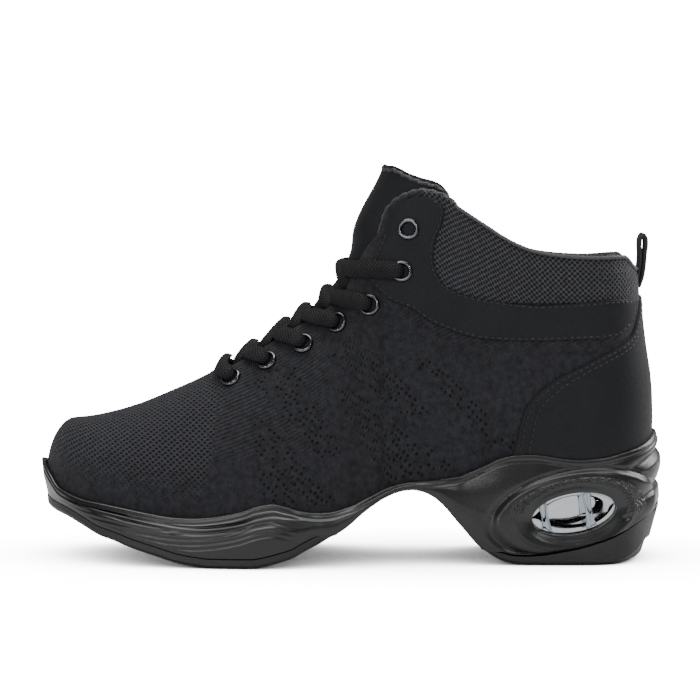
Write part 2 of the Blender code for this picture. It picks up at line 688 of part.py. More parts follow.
def tread(name, first, last, fan, material):
    """A tread slab across the sole with grooves straight across it."""
    whole = []
    stations = [s for s in outline_stations() if first <= s <= last]
    pitch = 0.052
    grooves = [first + pitch * (k + 0.8) for k in range(int((last - first) / pitch))]
    half_groove = GROOVE_WIDTH / 2 / LAST_LENGTH
    for centre in grooves:
        stations = [s for s in stations if abs(s - centre) > half_groove + 0.004]
        if centre < min(last, HEEL_STATION) - 0.01:
            for off in (-1.05, -0.95, 0.95, 1.05):
                whole.append((centre + off * half_groove, abs(off) < 1))
    whole += [(s, False) for s in stations] + [(first, False)]
    if last < HEEL_STATION:
        whole.append((last, False))
    whole = sorted(set(whole))
    grooved = {round(s / HEEL_STATION, 9): g for s, g in whole}
    turns = [s / HEEL_STATION for s, _ in whole]
    if last >= HEEL_STATION:
        turns = [t for t in turns if t < 0.99] + [1 + k / fan for k in range(fan + 1)]
    is_groove = [grooved.get(round(t, 9), False) for t in turns]
    columns = {}
    for index, turn in enumerate(turns):
        for side in SIDES:
            station = floor_station(turn, side)
            bed = float(bed_height(station))
            normal = outline_normal(turn, side, bed)
            foot = last_point(turn, bed, side)
            low = float(underside_height(station)) + (TREAD_GROOVE if is_groove[index] else 0)
            high = float(underside_height(station)) + float(tread_height(station))
            out = max(wall_offset(len(WALL) - 1, turn, station), -0.004)
            column = []
            for height, inset in ((low, 0.0030), (low + 0.0016, 0.0004), (high, 0.0)):
                point = foot + normal * (out - inset)
                point.z = height
                column.append(point)
            columns[index, side] = column
    points = []
    for index in range(len(turns)):
        outer = columns[index, -1]
        inner = columns[index, 1]
        points += [outer[0], outer[1], outer[2], inner[2], inner[1], inner[0]]
    faces = []
    for i in range(len(turns) - 1):
        a, b = i * 6, (i + 1) * 6
        for j in range(6):
            k = (j + 1) % 6
            faces.append((a + j, a + k, b + k, b + j))
    faces.append(tuple(range(6)))
    end = (len(turns) - 1) * 6
    faces.append(tuple(end + j for j in range(6)))
    mesh = mesh_from(name, points, faces)
    return new_object(name, mesh, material, 30)


def cell_solid(name, grow, reach=None):
    """An oval bar across the heel: the air cell, or the tunnel that it sits in."""
    rings = []
    cx = station_x(1) - CELL_FROM_BACK
    cz = CELL_CENTRE_HEIGHT
    if reach:
        steps = [(-reach, 1.0), (reach, 1.0)]
    else:
        near = -heel_side(-1) + CELL_RECESS
        far = heel_side(1) - CELL_RECESS
        steps = [(near, 0.50), (near + 0.0010, 0.78), (near + 0.0028, 0.95), (near + 0.0055, 1.0)]
        steps += [(far - 0.0055, 1.0), (far - 0.0028, 0.95), (far - 0.0010, 0.78), (far, 0.50)]
    sides = 20
    for y, scale in steps:
        ring = []
        for k in range(sides):
            angle = 2 * math.pi * k / sides
            a = (CELL_LENGTH / 2 + grow) * scale * math.cos(angle)
            b = (CELL_HEIGHT / 2 + grow) * scale * math.sin(angle)
            x = cx + a * math.cos(POD_TILT) - b * math.sin(POD_TILT)
            z = cz + a * math.sin(POD_TILT) + b * math.cos(POD_TILT)
            ring.append(Vector((x, y, z)))
        rings.append(ring)
    mesh = loft(name, rings)
    if reach:
        obj = bpy.data.objects.new(name, mesh)
        CUTTERS.objects.link(obj)
        return obj
    return new_object(name, mesh, CLEAR, 50)


def heel_side(side):
    """How far the heel's side stands from the middle, at the air cell."""
    return float(half_width(HEEL_STATION, side)) + FLANGE * 0.93


def cut(target, cutters):
    """Takes cutters away from a mesh object, for good."""
    for cutter in cutters:
        cutter.hide_render = True
        cutter.display_type = "WIRE"
        modifier = target.modifiers.new(cutter.name, "BOOLEAN")
        modifier.operation = "DIFFERENCE"
        modifier.solver = "EXACT"
        modifier.object = cutter


def build_insole():
    """The sock liner: a slab on the bed, inside the upper."""
    stations = [s for s in outline_stations() if s > 0.012]
    turns = [s / HEEL_STATION for s in stations if s < HEEL_STATION - 0.01] + [1 + k / 6 for k in range(7)]
    points = []
    inset = UPPER_WALL + GAP * 3
    for turn in turns:
        section = []
        for side in SIDES:
            station = floor_station(turn, side)
            bed = float(bed_height(station))
            normal = outline_normal(turn, side, bed)
            foot = last_point(turn, bed, side) - normal * inset
            level = (bed + GAP, bed + GAP + INSOLE_THICKNESS)
            if turn * HEEL_STATION < 0.03:
                foot.x = max(foot.x, TOE_X + inset + 0.0008)
            section.append([Vector((foot.x, foot.y, z)) for z in level])
        points += [section[0][0], section[0][1], section[1][1], section[1][0]]
    faces = []
    for i in range(len(turns) - 1):
        a, b = i * 4, (i + 1) * 4
        for j in range(4):
            k = (j + 1) % 4
            faces.append((a + j, a + k, b + k, b + j))
    faces.append((0, 1, 2, 3))
    end = (len(turns) - 1) * 4
    faces.append((end, end + 1, end + 2, end + 3))
    return new_object("insole", mesh_from("insole", points, faces), LINING, 30)


def skin_slab(name, rows, seat, thickness, material):
    """A solid between two offsets of the skin. Each row is a list of (turn, height, side)."""
    width = len(rows[0])
    points = []
    for out in (seat, seat + thickness):
        points += [offset_point(turn, height, side, out) for row in rows for turn, height, side in row]
    count = len(rows)
    layer = count * width
    faces = []
    for i in range(count - 1):
        for j in range(width - 1):
            a = i * width + j
            faces.append((a, a + 1, a + width + 1, a + width))
            faces.append((layer + a, layer + a + width, layer + a + width + 1, layer + a + 1))
        for j in (0, width - 1):
            a = i * width + j
            faces.append((a, a + width, layer + a + width, layer + a))
    for i in (0, count - 1):
        for j in range(width - 1):
            a = i * width + j
            faces.append((a, a + 1, layer + a + 1, layer + a))
    return new_object(name, mesh_from(name, points, faces), material, 40)


def build_band(name, side):
    """Eyestay tab and collar band of one side, in one piece."""
    rows = []
    steps = 5
    for low_station, low_share, high_station, high_share in BAND:
        row = []
        for j in range(steps + 1):
            station = low_station + (high_station - low_station) * j / steps
            height = COLLAR_HEIGHT * (low_share + (high_share - low_share) * j / steps)
            row.append((turn_at(station, height), height, side))
        rows.append(row)
    return skin_slab(name, rows, SEAT, OVERLAY, LEATHER)


def build_counter():
    """Heel counter, in one piece round the back of the heel."""
    front = []
    for place_along, share in COUNTER:
        height = COLLAR_HEIGHT * share
        front.append((place_along if place_along > 1 else turn_at(place_along, height), height))
    ends = [(turn, height, -1) for turn, height in front]
    ends += [(turn, height, 1) for turn, height in reversed(front[:-1])]
    rows = []
    levels = 5
    for turn, high, side in ends:
        low = float(lip_height(floor_station(turn, side))) + 0.0006
        high = max(high, low + 0.001)
        rows.append([(turn, low + (high - low) * j / levels, side) for j in range(levels + 1)])
    return skin_slab("heel_counter", rows, SEAT, OVERLAY, LEATHER)


def build_tongue():
    """Padded tongue under the throat, arched round the front of the ankle."""
    clear = UPPER_WALL + GAP * 1.5
    stations = [0.270, 0.276, 0.290, 0.320, 0.355, 0.390, 0.425, 0.455, 0.480, 0.500]
    stations += [0.517, 0.532, 0.5440, 0.5497, 0.5550, 0.563, 0.580, 0.600, 0.622, 0.644, 0.660, 0.670]
    steps = 5
    columns = {}
    for k, station in enumerate(stations):
        bed = float(bed_height(station))
        tall = float(ridge_height(station)) - bed
        shape = float(smooth(PLAN, 5, station))
        edge = TONGUE_HEIGHT * float(smooth(TONGUE, 1, station))
        top = TONGUE_HEIGHT * float(smooth(TONGUE, 2, station))
        ridge = bed + tall
        closed = top >= ridge or station < 0.550
        if station < 0.29:
            edge = ridge - (ridge - edge) * ease((station - 0.262) / 0.03)
        start = float(angle_at(station, min(edge, ridge - 0.0005)))
        end = math.pi / 2 if closed else float(angle_at(station, top))
        for side in SIDES:
            column = []
            for j in range(steps + 1):
                angle = start + (end - start) * j / steps
                height = bed + tall * math.sin(angle) ** (2 / shape)
                point = last_point(station / HEEL_STATION, height, side)
                normal = skin_normal(point)
                side_taper = min(1.0, (j + 0.6) / 2.2)
                tip = min(1.0, 0.35 + (station - 0.27) / 0.03) * min(1.0, 0.4 + (0.670 - station) / 0.03)
                thick = TONGUE_THICKNESS * side_taper * tip
                if not closed and j == steps:
                    thick *= 0.75
                column.append((point - normal * clear, point - normal * (clear + thick)))
            columns[k, side] = column
        columns[k, "closed"] = closed
    points = []
    index = {}
    for (k, side), column in columns.items():
        if side == "closed":
            continue
        for j, pair in enumerate(column):
            for layer in (0, 1):
                index[k, side, j, layer] = len(points)
                points.append(pair[layer])
    faces = []
    for side in SIDES:
        for k in range(len(stations) - 1):
            for j in range(steps):
                for layer in (0, 1):
                    quad = (index[k, side, j, layer], index[k + 1, side, j, layer])
                    quad += (index[k + 1, side, j + 1, layer], index[k, side, j + 1, layer])
                    faces.append(quad)
            ends = [0]
            if not (columns[k, "closed"] and columns[k + 1, "closed"]):
                ends.append(steps)
            for j in ends:
                quad = (index[k, side, j, 0], index[k + 1, side, j, 0])
                quad += (index[k + 1, side, j, 1], index[k, side, j, 1])
                faces.append(quad)
        for k in (0, len(stations) - 1):
            for j in range(steps):
                quad = (index[k, side, j, 0], index[k, side, j + 1, 0])
                quad += (index[k, side, j + 1, 1], index[k, side, j, 1])
                faces.append(quad)
    return new_object("tongue", mesh_from("tongue", points, faces), LEATHER, 40)


def eyelet_frame(number, side):
    """Centre on the skin and outward direction of an eyelet, counted from the toe."""
    station, share = EYELETS[number]
    height = INSTEP_HEIGHT * share
    point = last_point(station / HEEL_STATION, height, side)
    return point, skin_normal(point)


def eyelet_seat(number):
    """How far over the skin the eyelet's flange sits."""
    on_band = number >= len(EYELETS) - OVERLAID_EYELETS
    return EYELET_SEAT + (SEAT + OVERLAY if on_band else 0)


def place(normal, centre):
    """Matrix that stands +Z along a direction at a centre."""
    return Matrix.Translation(centre) @ normal.to_track_quat("Z", "Y").to_matrix().to_4x4()


def build_eyelets():
    """Pressed eyelets: a rolled flange outside and a barrel through the wall."""
    barrel = EYELET_BORE + BARREL_WALL
    profile = [
        (EYELET_BORE, -UPPER_WALL),
        (EYELET_BORE + 0.0002, EYELET_RISE * 0.7),
        (EYELET_BORE + 0.0008, EYELET_RISE),
        (EYELET_RADIUS - 0.0003, EYELET_RISE * 0.65),
        (EYELET_RADIUS, 0.0),
        (barrel, 0.0),
        (barrel, -UPPER_WALL),
    ]
    segments = 12
    for side, word in zip(SIDES, ("outer", "inner")):
        for number in range(len(EYELETS)):
            centre, normal = eyelet_frame(number, side)
            frame = place(normal, centre + normal * eyelet_seat(number))
            rings = []
            for k in range(segments):
                angle = 2 * math.pi * k / segments
                ring = [Vector((r * math.cos(angle), r * math.sin(angle), z)) for r, z in profile]
                rings.append([frame @ p for p in ring])
            mesh = loft(f"eyelet_{word}_{number + 1}", rings, closed=True)
            new_object(f"eyelet_{word}_{number + 1}", mesh, METAL, 50)


def hole_cutters(name, first):
    """Cylinders that open the wall for the eyelets' barrels."""
    radius = EYELET_BORE + BARREL_WALL + GAP
    work = bmesh.new()
    for side in SIDES:
        for number in range(first, len(EYELETS)):
            centre, normal = eyelet_frame(number, side)
            bmesh.ops.create_cone(
                work,
                cap_ends=True,
                segments=12,
                radius1=radius,
                radius2=radius,
                depth=0.012,
                matrix=place(normal, centre),
            )
    mesh = bpy.data.meshes.new(name)
    work.to_mesh(mesh)
    work.free()
    obj = bpy.data.objects.new(name, mesh)
    CUTTERS.objects.link(obj)
    return obj


def lace_tube(points, width=LACE_WIDTH, thick=LACE_THICKNESS):
    """A flat lace along points: an oval section, wide across the throat's surface.
    Each point is (position, surface normal)."""
    sides = 8
    rings = []
    for k, (point, up) in enumerate(points):
        before = points[max(k - 1, 0)][0]
        after = points[min(k + 1, len(points) - 1)][0]
        along = (after - before).normalized()
        across = along.cross(up).normalized()
        lift = across.cross(along).normalized()
        narrow = 0.55 if k in (0, len(points) - 1) else 1.0
        ring = []
        for j in range(sides):
            angle = 2 * math.pi * (j + 0.5) / sides
            offset = across * (width / 2 * narrow * math.cos(angle))
            ring.append(point + offset + lift * (thick / 2 * math.sin(angle)))
        rings.append(ring)
    return rings


def throat_point(height, half, side, out):
    """A point at a height and a distance from the centre line, out over the skin's front."""
    near, far = TOE_X + 0.02, HEEL_X
    for _ in range(40):
        x = (near + far) / 2
        station = (x - TOE_X) / LAST_LENGTH
        y = float(centre_line(station)) + side * half
        if skin_level(Vector((x, y, height))) > 0:
            near = x
        else:
            far = x
    point = Vector((x, y, height))
    normal = skin_normal(point)
    return point + normal * out, normal


def build_laces():
    """The lowest bar and five crossings, clear of tongue, upper and eyelets."""
    on_skin = GAP + LACE_THICKNESS / 2
    on_tongue = on_skin - UPPER_WALL - GAP * 1.5 + 0.0004
    over = on_tongue + LACE_THICKNESS * 0.9
    for number, share in enumerate(CROSSINGS):
        crossing = INSTEP_HEIGHT * float(share)
        parts = []
        for which, side in enumerate(SIDES):
            centre, normal = eyelet_frame(number, side)
            seat = eyelet_seat(number) + EYELET_RISE
            half = abs(centre.y - float(centre_line(EYELETS[number, 0])))
            path = [(centre + normal * (seat + on_skin + LACE_CLEAR), normal)]
            lift = on_skin + 0.0009 if number == 0 else (over if which else on_tongue)
            edge = eyelet_seat(number) - EYELET_SEAT + on_skin + LACE_CLEAR
            for part in (0.33, 0.62):
                height = centre.z + (crossing - centre.z) * part
                out = edge + (EYELET_RISE + EYELET_SEAT) * (part < 0.5)
                path.append(throat_point(height, half * (1 - part), side, max(out, lift)))
            if number == 0:
                path.append(throat_point(crossing, half * 0.12, side, lift))
                if which:
                    parts[0] += path[::-1]
                else:
                    parts.append(path)
                continue
            path.append(throat_point(crossing, 0.0012, side, lift))
            path.append(throat_point(crossing + 0.0004, 0.0050, -side, lift))
            parts.append(path)
        name = "lace_bar_1" if number == 0 else f"lace_cross_{number + 1}"
        meshes = [loft(f"{name}_{k}", lace_tube(path)) for k, path in enumerate(parts)]
        obj = new_object(name, meshes[0], CORD, 60)
        for mesh in meshes[1:]:
            other = bpy.data.objects.new(f"{name}_strand", mesh)
            CUTTERS.objects.link(other)
            other.hide_render = True
            other.display_type = "WIRE"
            modifier = obj.modifiers.new("join", "BOOLEAN")
            modifier.operation = "UNION"
            modifier.solver = "EXACT"
            modifier.object = other


def build_pull_loop():
    """Ribbon loop standing at the back seam: a flat outline with a hole, as wide as the ribbon."""
    base_z = COLLAR_HEIGHT * 0.880
    base_x = HEEL_X + float(heel_back(base_z)) + GAP * 2 + LOOP_PLY
    bow = 0.0024
    outer = []
    inner = []
    steps = 9
    for k in range(steps + 1):
        share = k / steps
        lean = 0.0012 * share
        swell = bow * math.sin(math.pi * min(share * 0.92 + 0.08, 1)) ** 0.8 + LOOP_PLY * 0.9
        outer.append((base_x + lean + swell * (1 if share < 1 else 0.2), base_z + LOOP_HEIGHT * share))
    back = []
    for k in reversed(range(steps)):
        share = k / steps
        lean = 0.0012 * share
        swell = bow * 0.5 * math.sin(math.pi * share) ** 0.8 + LOOP_PLY * 0.9
        back.append((base_x + lean - swell * (0.9 if share > 0.1 else 0.75), base_z + LOOP_HEIGHT * share))
    outline = outer + back
    middle_x = base_x + 0.0008
    for k in range(10):
        angle = 2 * math.pi * k / 10
        inner.append((
            middle_x + 0.0009 * math.cos(angle) + 0.0003,
            base_z + LOOP_HEIGHT * 0.66 + LOOP_HEIGHT * 0.27 * math.sin(angle),
        ))
    data = bpy.data.curves.new("pull_loop", "CURVE")
    data.dimensions = "2D"
    data.fill_mode = "BOTH"
    data.extrude = LOOP_WIDTH / 2
    for ring in (outline, inner):
        spline = data.splines.new("POLY")
        spline.points.add(len(ring) - 1)
        for point, (x, z) in zip(spline.points, ring):
            point.co = (x, z, 0, 1)
        spline.use_cyclic_u = True
    data.materials.append(CORD)
    obj = bpy.data.objects.new("pull_loop", data)
    obj.rotation_euler = (math.pi / 2, 0, 0)
    SHOE.objects.link(obj)
    return obj


def finish_material(name, colour, roughness, metallic=0.0, alpha=1.0):
    material = bpy.data.materials.new(name)
    material.use_nodes = True
    shader = material.node_tree.nodes["Principled BSDF"]
    shader.inputs["Base Color"].default_value = (*colour, 1)
    shader.inputs["Roughness"].default_value = roughness
    shader.inputs["Metallic"].default_value = metallic
    shader.inputs["Alpha"].default_value = alpha
    return material


for old in list(bpy.data.objects):
    bpy.data.objects.remove(old)
SHOE = bpy.data.collections.new("dance_sneaker")
CUTTERS = bpy.data.collections.new("cutters")
bpy.context.scene.collection.children.link(SHOE)
bpy.context.scene.collection.children.link(CUTTERS)

KNIT = finish_material("black_knit", (0.012, 0.013, 0.015), 0.85)
LEATHER = finish_material("black_nubuck", (0.016, 0.017, 0.019), 0.65)
LINING = finish_material("lining_mesh", (0.014, 0.014, 0.016), 0.9)
FOAM = finish_material("moulded_sole", (0.014, 0.016, 0.019), 0.38)
RUBBER = finish_material("tread_rubber", (0.013, 0.014, 0.016), 0.5)
CLEAR = finish_material("clear_cell", (0.85, 0.88, 0.9), 0.08, 0.0, 0.4)
METAL = finish_material("gunmetal", (0.05, 0.05, 0.055), 0.25, 0.9)
CORD = finish_material("black_lace", (0.015, 0.015, 0.017), 0.8)

upper = build_upper()
cut(upper, [hole_cutters("wall_holes", 0)])
build_midsole()
tread("outsole_forefoot", 0.0, FORE_TREAD_END - 0.002, 0, RUBBER)
tread("outsole_heel", HEEL_TREAD_START + 0.002, 1.0, 9, RUBBER)
cell_solid("air_cell", 0.0)
build_insole()
build_counter()
band_holes = hole_cutters("band_holes", len(EYELETS) - OVERLAID_EYELETS)
for band_side, band_word in zip(SIDES, ("outer", "inner")):
    cut(build_band(f"collar_band_{band_word}", band_side), [band_holes])
build_tongue()
build_eyelets()
build_laces()
build_pull_loop()
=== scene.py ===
import math

import bmesh
import bpy
import numpy as np
from mathutils import Matrix, Vector


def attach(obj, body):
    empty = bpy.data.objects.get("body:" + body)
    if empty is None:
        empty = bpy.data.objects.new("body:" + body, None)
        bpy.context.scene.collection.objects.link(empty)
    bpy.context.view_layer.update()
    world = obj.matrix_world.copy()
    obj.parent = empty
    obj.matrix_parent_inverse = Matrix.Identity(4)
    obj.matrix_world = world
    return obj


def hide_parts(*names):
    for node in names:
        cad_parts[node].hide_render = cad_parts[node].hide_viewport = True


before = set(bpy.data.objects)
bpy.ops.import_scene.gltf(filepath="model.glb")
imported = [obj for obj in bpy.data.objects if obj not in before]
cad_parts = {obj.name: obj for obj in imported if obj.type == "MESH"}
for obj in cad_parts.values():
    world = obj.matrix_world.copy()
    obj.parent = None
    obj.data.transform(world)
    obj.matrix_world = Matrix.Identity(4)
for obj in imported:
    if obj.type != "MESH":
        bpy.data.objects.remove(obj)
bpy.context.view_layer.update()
print("frame loaded:", len(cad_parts), "nodes")

# camera, first of all: the side view of the reference, a little from above
view = {
    "elevation": 4, "distance": 1.4, "lookAt": (0, 0, 0.088),
    "metresPerPixel": 0.4267e-3, "pixels": 700, "sensor": 36,
}
cameraData = bpy.data.cameras.new("camera")
cameraData.sensor_width = view["sensor"]
cameraData.lens = view["distance"] / view["metresPerPixel"] / view["pixels"] * view["sensor"]
cameraObject = bpy.data.objects.new("camera", cameraData)
bpy.context.scene.collection.objects.link(cameraObject)
lift = math.radians(view["elevation"])
lookAt = Vector(view["lookAt"])
cameraObject.location = lookAt + Vector((0, -math.cos(lift), math.sin(lift))) * view["distance"]
cameraObject.rotation_euler = (lookAt - cameraObject.location).to_track_quat("-Z", "Y").to_euler()
bpy.context.scene.camera = cameraObject

# the last that every piece is laid on: sizes in metres, tables as shares of them
last = {
    "length": 0.2574, "ballWidth": 0.0850, "heelWidth": 0.0630, "toePlan": 0.045, "toeSide": 0.012,
    "heelCentre": 0.0310, "instep": 0.1100, "roundness": 2.2, "lineShift": 0.0005, "toeX": -0.1302,
    "foreBed": 0.0140, "heelBed": 0.0388, "toeSpring": 0.0245, "archHeight": 0.0320, "lip": 0.0125,
    "collar": 0.1296, "puff": 0.0014, "wall": 0.0022, "pad": 0.0045, "gap": 0.0003, "seat": 0.0005,
    "innerDrop": 0.0013, "backFall": 0.0055,
}
# station, centre, half width outer and inner, heel share, section shape
planTable = np.array([
    (0.000, 0.094, 0.445, 0.390, 0.0, 2.30), (0.060, 0.088, 0.452, 0.392, 0.0, 2.25),
    (0.118, 0.076, 0.466, 0.398, 0.0, 2.10), (0.196, 0.059, 0.504, 0.430, 0.0, 1.85),
    (0.273, 0.041, 0.530, 0.462, 0.0, 1.60), (0.332, 0.029, 0.540, 0.465, 0.0, 1.45),
    (0.390, 0.018, 0.532, 0.447, 0.0, 1.35), (0.468, 0.006, 0.502, 0.412, 0.15, 1.28),
    (0.545, 0.000, 0.500, 0.400, 0.45, 1.25), (0.623, 0.000, 0.498, 0.412, 0.75, 1.25),
    (0.700, 0.000, 0.496, 0.440, 1.0, 1.28), (0.778, 0.000, 0.496, 0.470, 1.0, 1.30),
    (0.880, 0.000, 0.500, 0.492, 1.0, 1.30), (1.000, 0.000, 0.500, 0.492, 1.0, 1.30),
])
# station, height of the ridge over the instep height
ridgeTable = np.array([
    (0.000, 0.523), (0.042, 0.532), (0.075, 0.540), (0.108, 0.556), (0.142, 0.578), (0.175, 0.606),
    (0.208, 0.639), (0.266, 0.702), (0.318, 0.782), (0.356, 0.839), (0.402, 0.915), (0.450, 1.000),
    (0.476, 1.056), (0.494, 1.118), (0.514, 1.255), (0.531, 1.390), (0.547, 1.500), (0.584, 1.740),
    (0.662, 2.200), (0.740, 2.700), (0.880, 3.600), (1.000, 4.200),
])
# station, rise of the bed to the heel, lift of the bed at the toe
bedTable = np.array([
    (0.000, 0.0, 0.82), (0.034, 0.0, 0.53), (0.069, 0.0, 0.388), (0.102, 0.0, 0.306), (0.153, 0.0, 0.204),
    (0.202, 0.0, 0.114), (0.250, 0.0, 0.049), (0.293, 0.0, 0.012), (0.332, 0.0, 0.0), (0.378, 0.012, 0.0),
    (0.429, 0.065, 0.0), (0.4755, 0.185, 0.0), (0.5066, 0.331, 0.0), (0.5225, 0.456, 0.0),
    (0.5466, 0.645, 0.0), (0.5711, 0.766, 0.0), (0.5874, 0.815, 0.0), (0.6037, 0.839, 0.0),
    (0.6426, 0.862, 0.0), (0.6768, 0.887, 0.0), (0.7242, 0.900, 0.0), (0.7710, 0.927, 0.0),
    (0.818, 0.960, 0.0), (0.880, 0.980, 0.0), (1.000, 1.000, 0.0),
])
# station, height of the cup's lip over the bed
lipTable = np.array([
    (0.000, 0.580), (0.017, 0.460), (0.034, 0.300), (0.069, 0.304), (0.102, 0.352), (0.153, 0.376),
    (0.202, 0.376), (0.250, 0.440), (0.290, 0.576), (0.330, 0.768), (0.355, 0.936), (0.380, 1.000),
    (0.403, 0.864), (0.426, 0.672), (0.458, 0.464), (0.475, 0.384), (0.4988, 0.320), (0.5225, 0.200),
    (0.5466, 0.070), (0.5711, 0.052), (0.5874, 0.056), (0.6193, 0.050), (0.6527, 0.060), (0.6768, 0.085),
    (0.7008, 0.250), (0.7253, 0.464), (0.749, 0.660), (0.774, 0.735), (0.798, 0.720), (0.822, 0.650),
    (0.847, 0.550), (0.880, 0.475), (0.912, 0.520), (0.945, 0.660), (0.972, 0.830), (0.990, 1.050),
    (1.000, 1.300),
])
# station, toe lift and arch lift of the sole's underside
undersideTable = np.array([
    (0.000, 0.920, 0.0), (0.015, 0.850, 0.0), (0.048, 0.750, 0.0), (0.077, 0.620, 0.0), (0.1025, 0.495, 0.0),
    (0.128, 0.420, 0.0), (0.160, 0.300, 0.0), (0.192, 0.196, 0.0), (0.2325, 0.073, 0.0), (0.266, 0.016, 0.0),
    (0.282, 0.000, 0.0), (0.3465, 0.000, 0.0), (0.366, 0.0, 0.025), (0.3945, 0.0, 0.087), (0.4105, 0.0, 0.137),
    (0.4265, 0.0, 0.212), (0.4425, 0.0, 0.275), (0.4585, 0.0, 0.337), (0.4745, 0.0, 0.412), (0.4905, 0.0, 0.487),
    (0.5066, 0.0, 0.587), (0.5225, 0.0, 0.703), (0.539, 0.0, 0.803), (0.5515, 0.0, 0.870), (0.5645, 0.0, 0.925),
    (0.579, 0.0, 0.970), (0.592, 0.0, 0.992), (0.605, 0.0, 1.000), (0.616, 0.0, 0.985), (0.629, 0.0, 0.950),
    (0.6453, 0.0, 0.866), (0.660, 0.0, 0.750), (0.676, 0.0, 0.597), (0.6923, 0.0, 0.453), (0.7133, 0.0, 0.269),
    (0.7327, 0.0, 0.150), (0.749, 0.0, 0.072), (0.765, 0.0, 0.028), (0.7813, 0.0, 0.009), (0.800, 0.0, 0.000),
    (0.9145, 0.0, 0.000), (0.942, 0.028, 0.0), (0.969, 0.082, 0.0), (1.000, 0.160, 0.0),
])
# height over the floor, width of the shaft there, and how far the back of the heel leans in
shaftTable = np.array([
    (0.290, 1.000, 0.985), (0.390, 1.045, 1.012), (0.460, 1.050, 1.016), (0.530, 1.040, 1.010),
    (0.600, 1.020, 0.987), (0.665, 1.000, 0.945), (0.730, 0.992, 0.906), (0.800, 0.995, 0.874),
    (0.860, 1.005, 0.861), (0.920, 1.015, 0.845), (0.970, 1.020, 0.815), (1.040, 1.030, 0.800),
    (1.400, 1.050, 0.790),
])
# station, half width of the throat over the ball's width
throatTable = np.array([
    (0.300, 0.105), (0.330, 0.118), (0.375, 0.124), (0.430, 0.134), (0.480, 0.152),
    (0.512, 0.178), (0.538, 0.212), (0.552, 0.224), (0.566, 0.205), (0.600, 0.205),
])
# station, crest of the collar over the collar height
collarTable = np.array([
    (0.5560, 1.100), (0.5600, 1.130), (0.5670, 1.152), (0.5760, 1.172), (0.5880, 1.187), (0.6050, 1.201),
    (0.6210, 1.208), (0.6380, 1.204), (0.6530, 1.195), (0.6700, 1.175), (0.6850, 1.154), (0.7016, 1.132),
    (0.7180, 1.111), (0.7340, 1.090), (0.7502, 1.069), (0.7770, 1.040), (0.8096, 1.017), (0.8434, 1.006),
    (0.8757, 1.001), (0.9087, 0.999), (0.9573, 1.000), (1.0000, 0.996),
])
throatStart = 0.2880
throatRound = 0.012
heelStation = 1 - last["heelCentre"] / last["length"]
outerSide, innerSide = -1, 1


# a monotone cubic through one column of a table: each span is a Hermite curve, whose end slopes
# are the harmonic mean of the slopes beside them
def smooth(table, column, at):
    x, y = table[:, 0], table[:, column]
    step = np.diff(x)
    slope = np.diff(y) / step
    tangent = np.zeros_like(y)
    tangent[0], tangent[-1] = slope[0], slope[-1]
    same = slope[:-1] * slope[1:] > 0
    before, after = 2 * step[1:] + step[:-1], step[1:] + 2 * step[:-1]
    with np.errstate(divide="ignore", invalid="ignore"):
        mean = (before + after) / (before / slope[:-1] + after / slope[1:])
    tangent[1:-1] = np.where(same, mean, 0.0)
    at = np.clip(np.asarray(at, float), x[0], x[-1])
    k = np.clip(np.searchsorted(x, at) - 1, 0, len(step) - 1)
    u = (at - x[k]) / step[k]
    ends = y[k] * (1 + 2 * u) * (1 - u) ** 2 + y[k + 1] * u * u * (3 - 2 * u)
    return ends + step[k] * u * (1 - u) * (tangent[k] * (1 - u) - tangent[k + 1] * u)


def ease(value):  # 3v^2 - 2v^3 between 0 and 1
    value = np.clip(value, 0, 1)
    return value * value * (3 - 2 * value)


def unit(vectors):
    return vectors / np.maximum(np.linalg.norm(vectors, axis=-1, keepdims=True), 1e-12)


def rounding(distance, length):  # superellipse: share of the full size at a distance from a rounded tip
    left = np.clip(1 - distance / length, 0, 1)
    return (1 - left ** last["roundness"]) ** (1 / last["roundness"])


def stationX(station):
    return last["toeX"] + station * last["length"]


heelX = stationX(heelStation)


def bedHeight(station):
    rise = (last["heelBed"] - last["foreBed"]) * smooth(bedTable, 1, station)
    return last["foreBed"] + rise + last["toeSpring"] * smooth(bedTable, 2, station)


def lipHeight(station):
    return bedHeight(station) + last["lip"] * smooth(lipTable, 1, station)


def undersideHeight(station):
    toe = last["toeSpring"] * smooth(undersideTable, 1, station)
    return toe + last["archHeight"] * smooth(undersideTable, 2, station)


def ridgeHeight(station):
    bed = bedHeight(station)
    tall = last["instep"] * smooth(ridgeTable, 1, station) - bed
    return bed + tall * rounding(station * last["length"], last["toeSide"])


def centreLine(station):
    return last["lineShift"] + last["ballWidth"] * smooth(planTable, 1, station)


def halfWidth(station, side):
    heel = smooth(planTable, 4, station)
    local = last["ballWidth"] * (1 - heel) + last["heelWidth"] * heel
    share = np.where(np.asarray(side) < 0, smooth(planTable, 2, station), smooth(planTable, 3, station))
    return local * share * rounding(station * last["length"], last["toePlan"])


def padShare(station, height):  # 1 in the padded collar over the band, 0 away from it
    up = ease((height - last["collar"] * 0.86) / (last["collar"] * 0.09))
    return up * ease((station - 0.672) / 0.035)


def sideWidth(station, height, side):
    level = height / last["collar"]
    shaft = 1 + (smooth(shaftTable, 1, level) - 1) * ease((station - 0.45) / 0.25)
    edge = last["collar"] * smooth(collarTable, 1, np.maximum(station, collarTable[0, 0]))
    band = last["collar"] * 0.87
    puff = np.sin(math.pi * np.clip((height - band) / (edge - band), 0, 1))
    return halfWidth(station, side) * shaft + last["puff"] * puff * ease((station - 0.66) / 0.04)


def shareUp(station, height):
    bed = bedHeight(station)
    return np.clip((height - bed) / np.maximum(ridgeHeight(station) - bed, 1e-6), 0, 1)


def angleAt(station, height):  # 0 at the bed, a right angle at the ridge
    return np.arcsin(np.clip(shareUp(station, height) ** (smooth(planTable, 5, station) / 2), 0, 1))


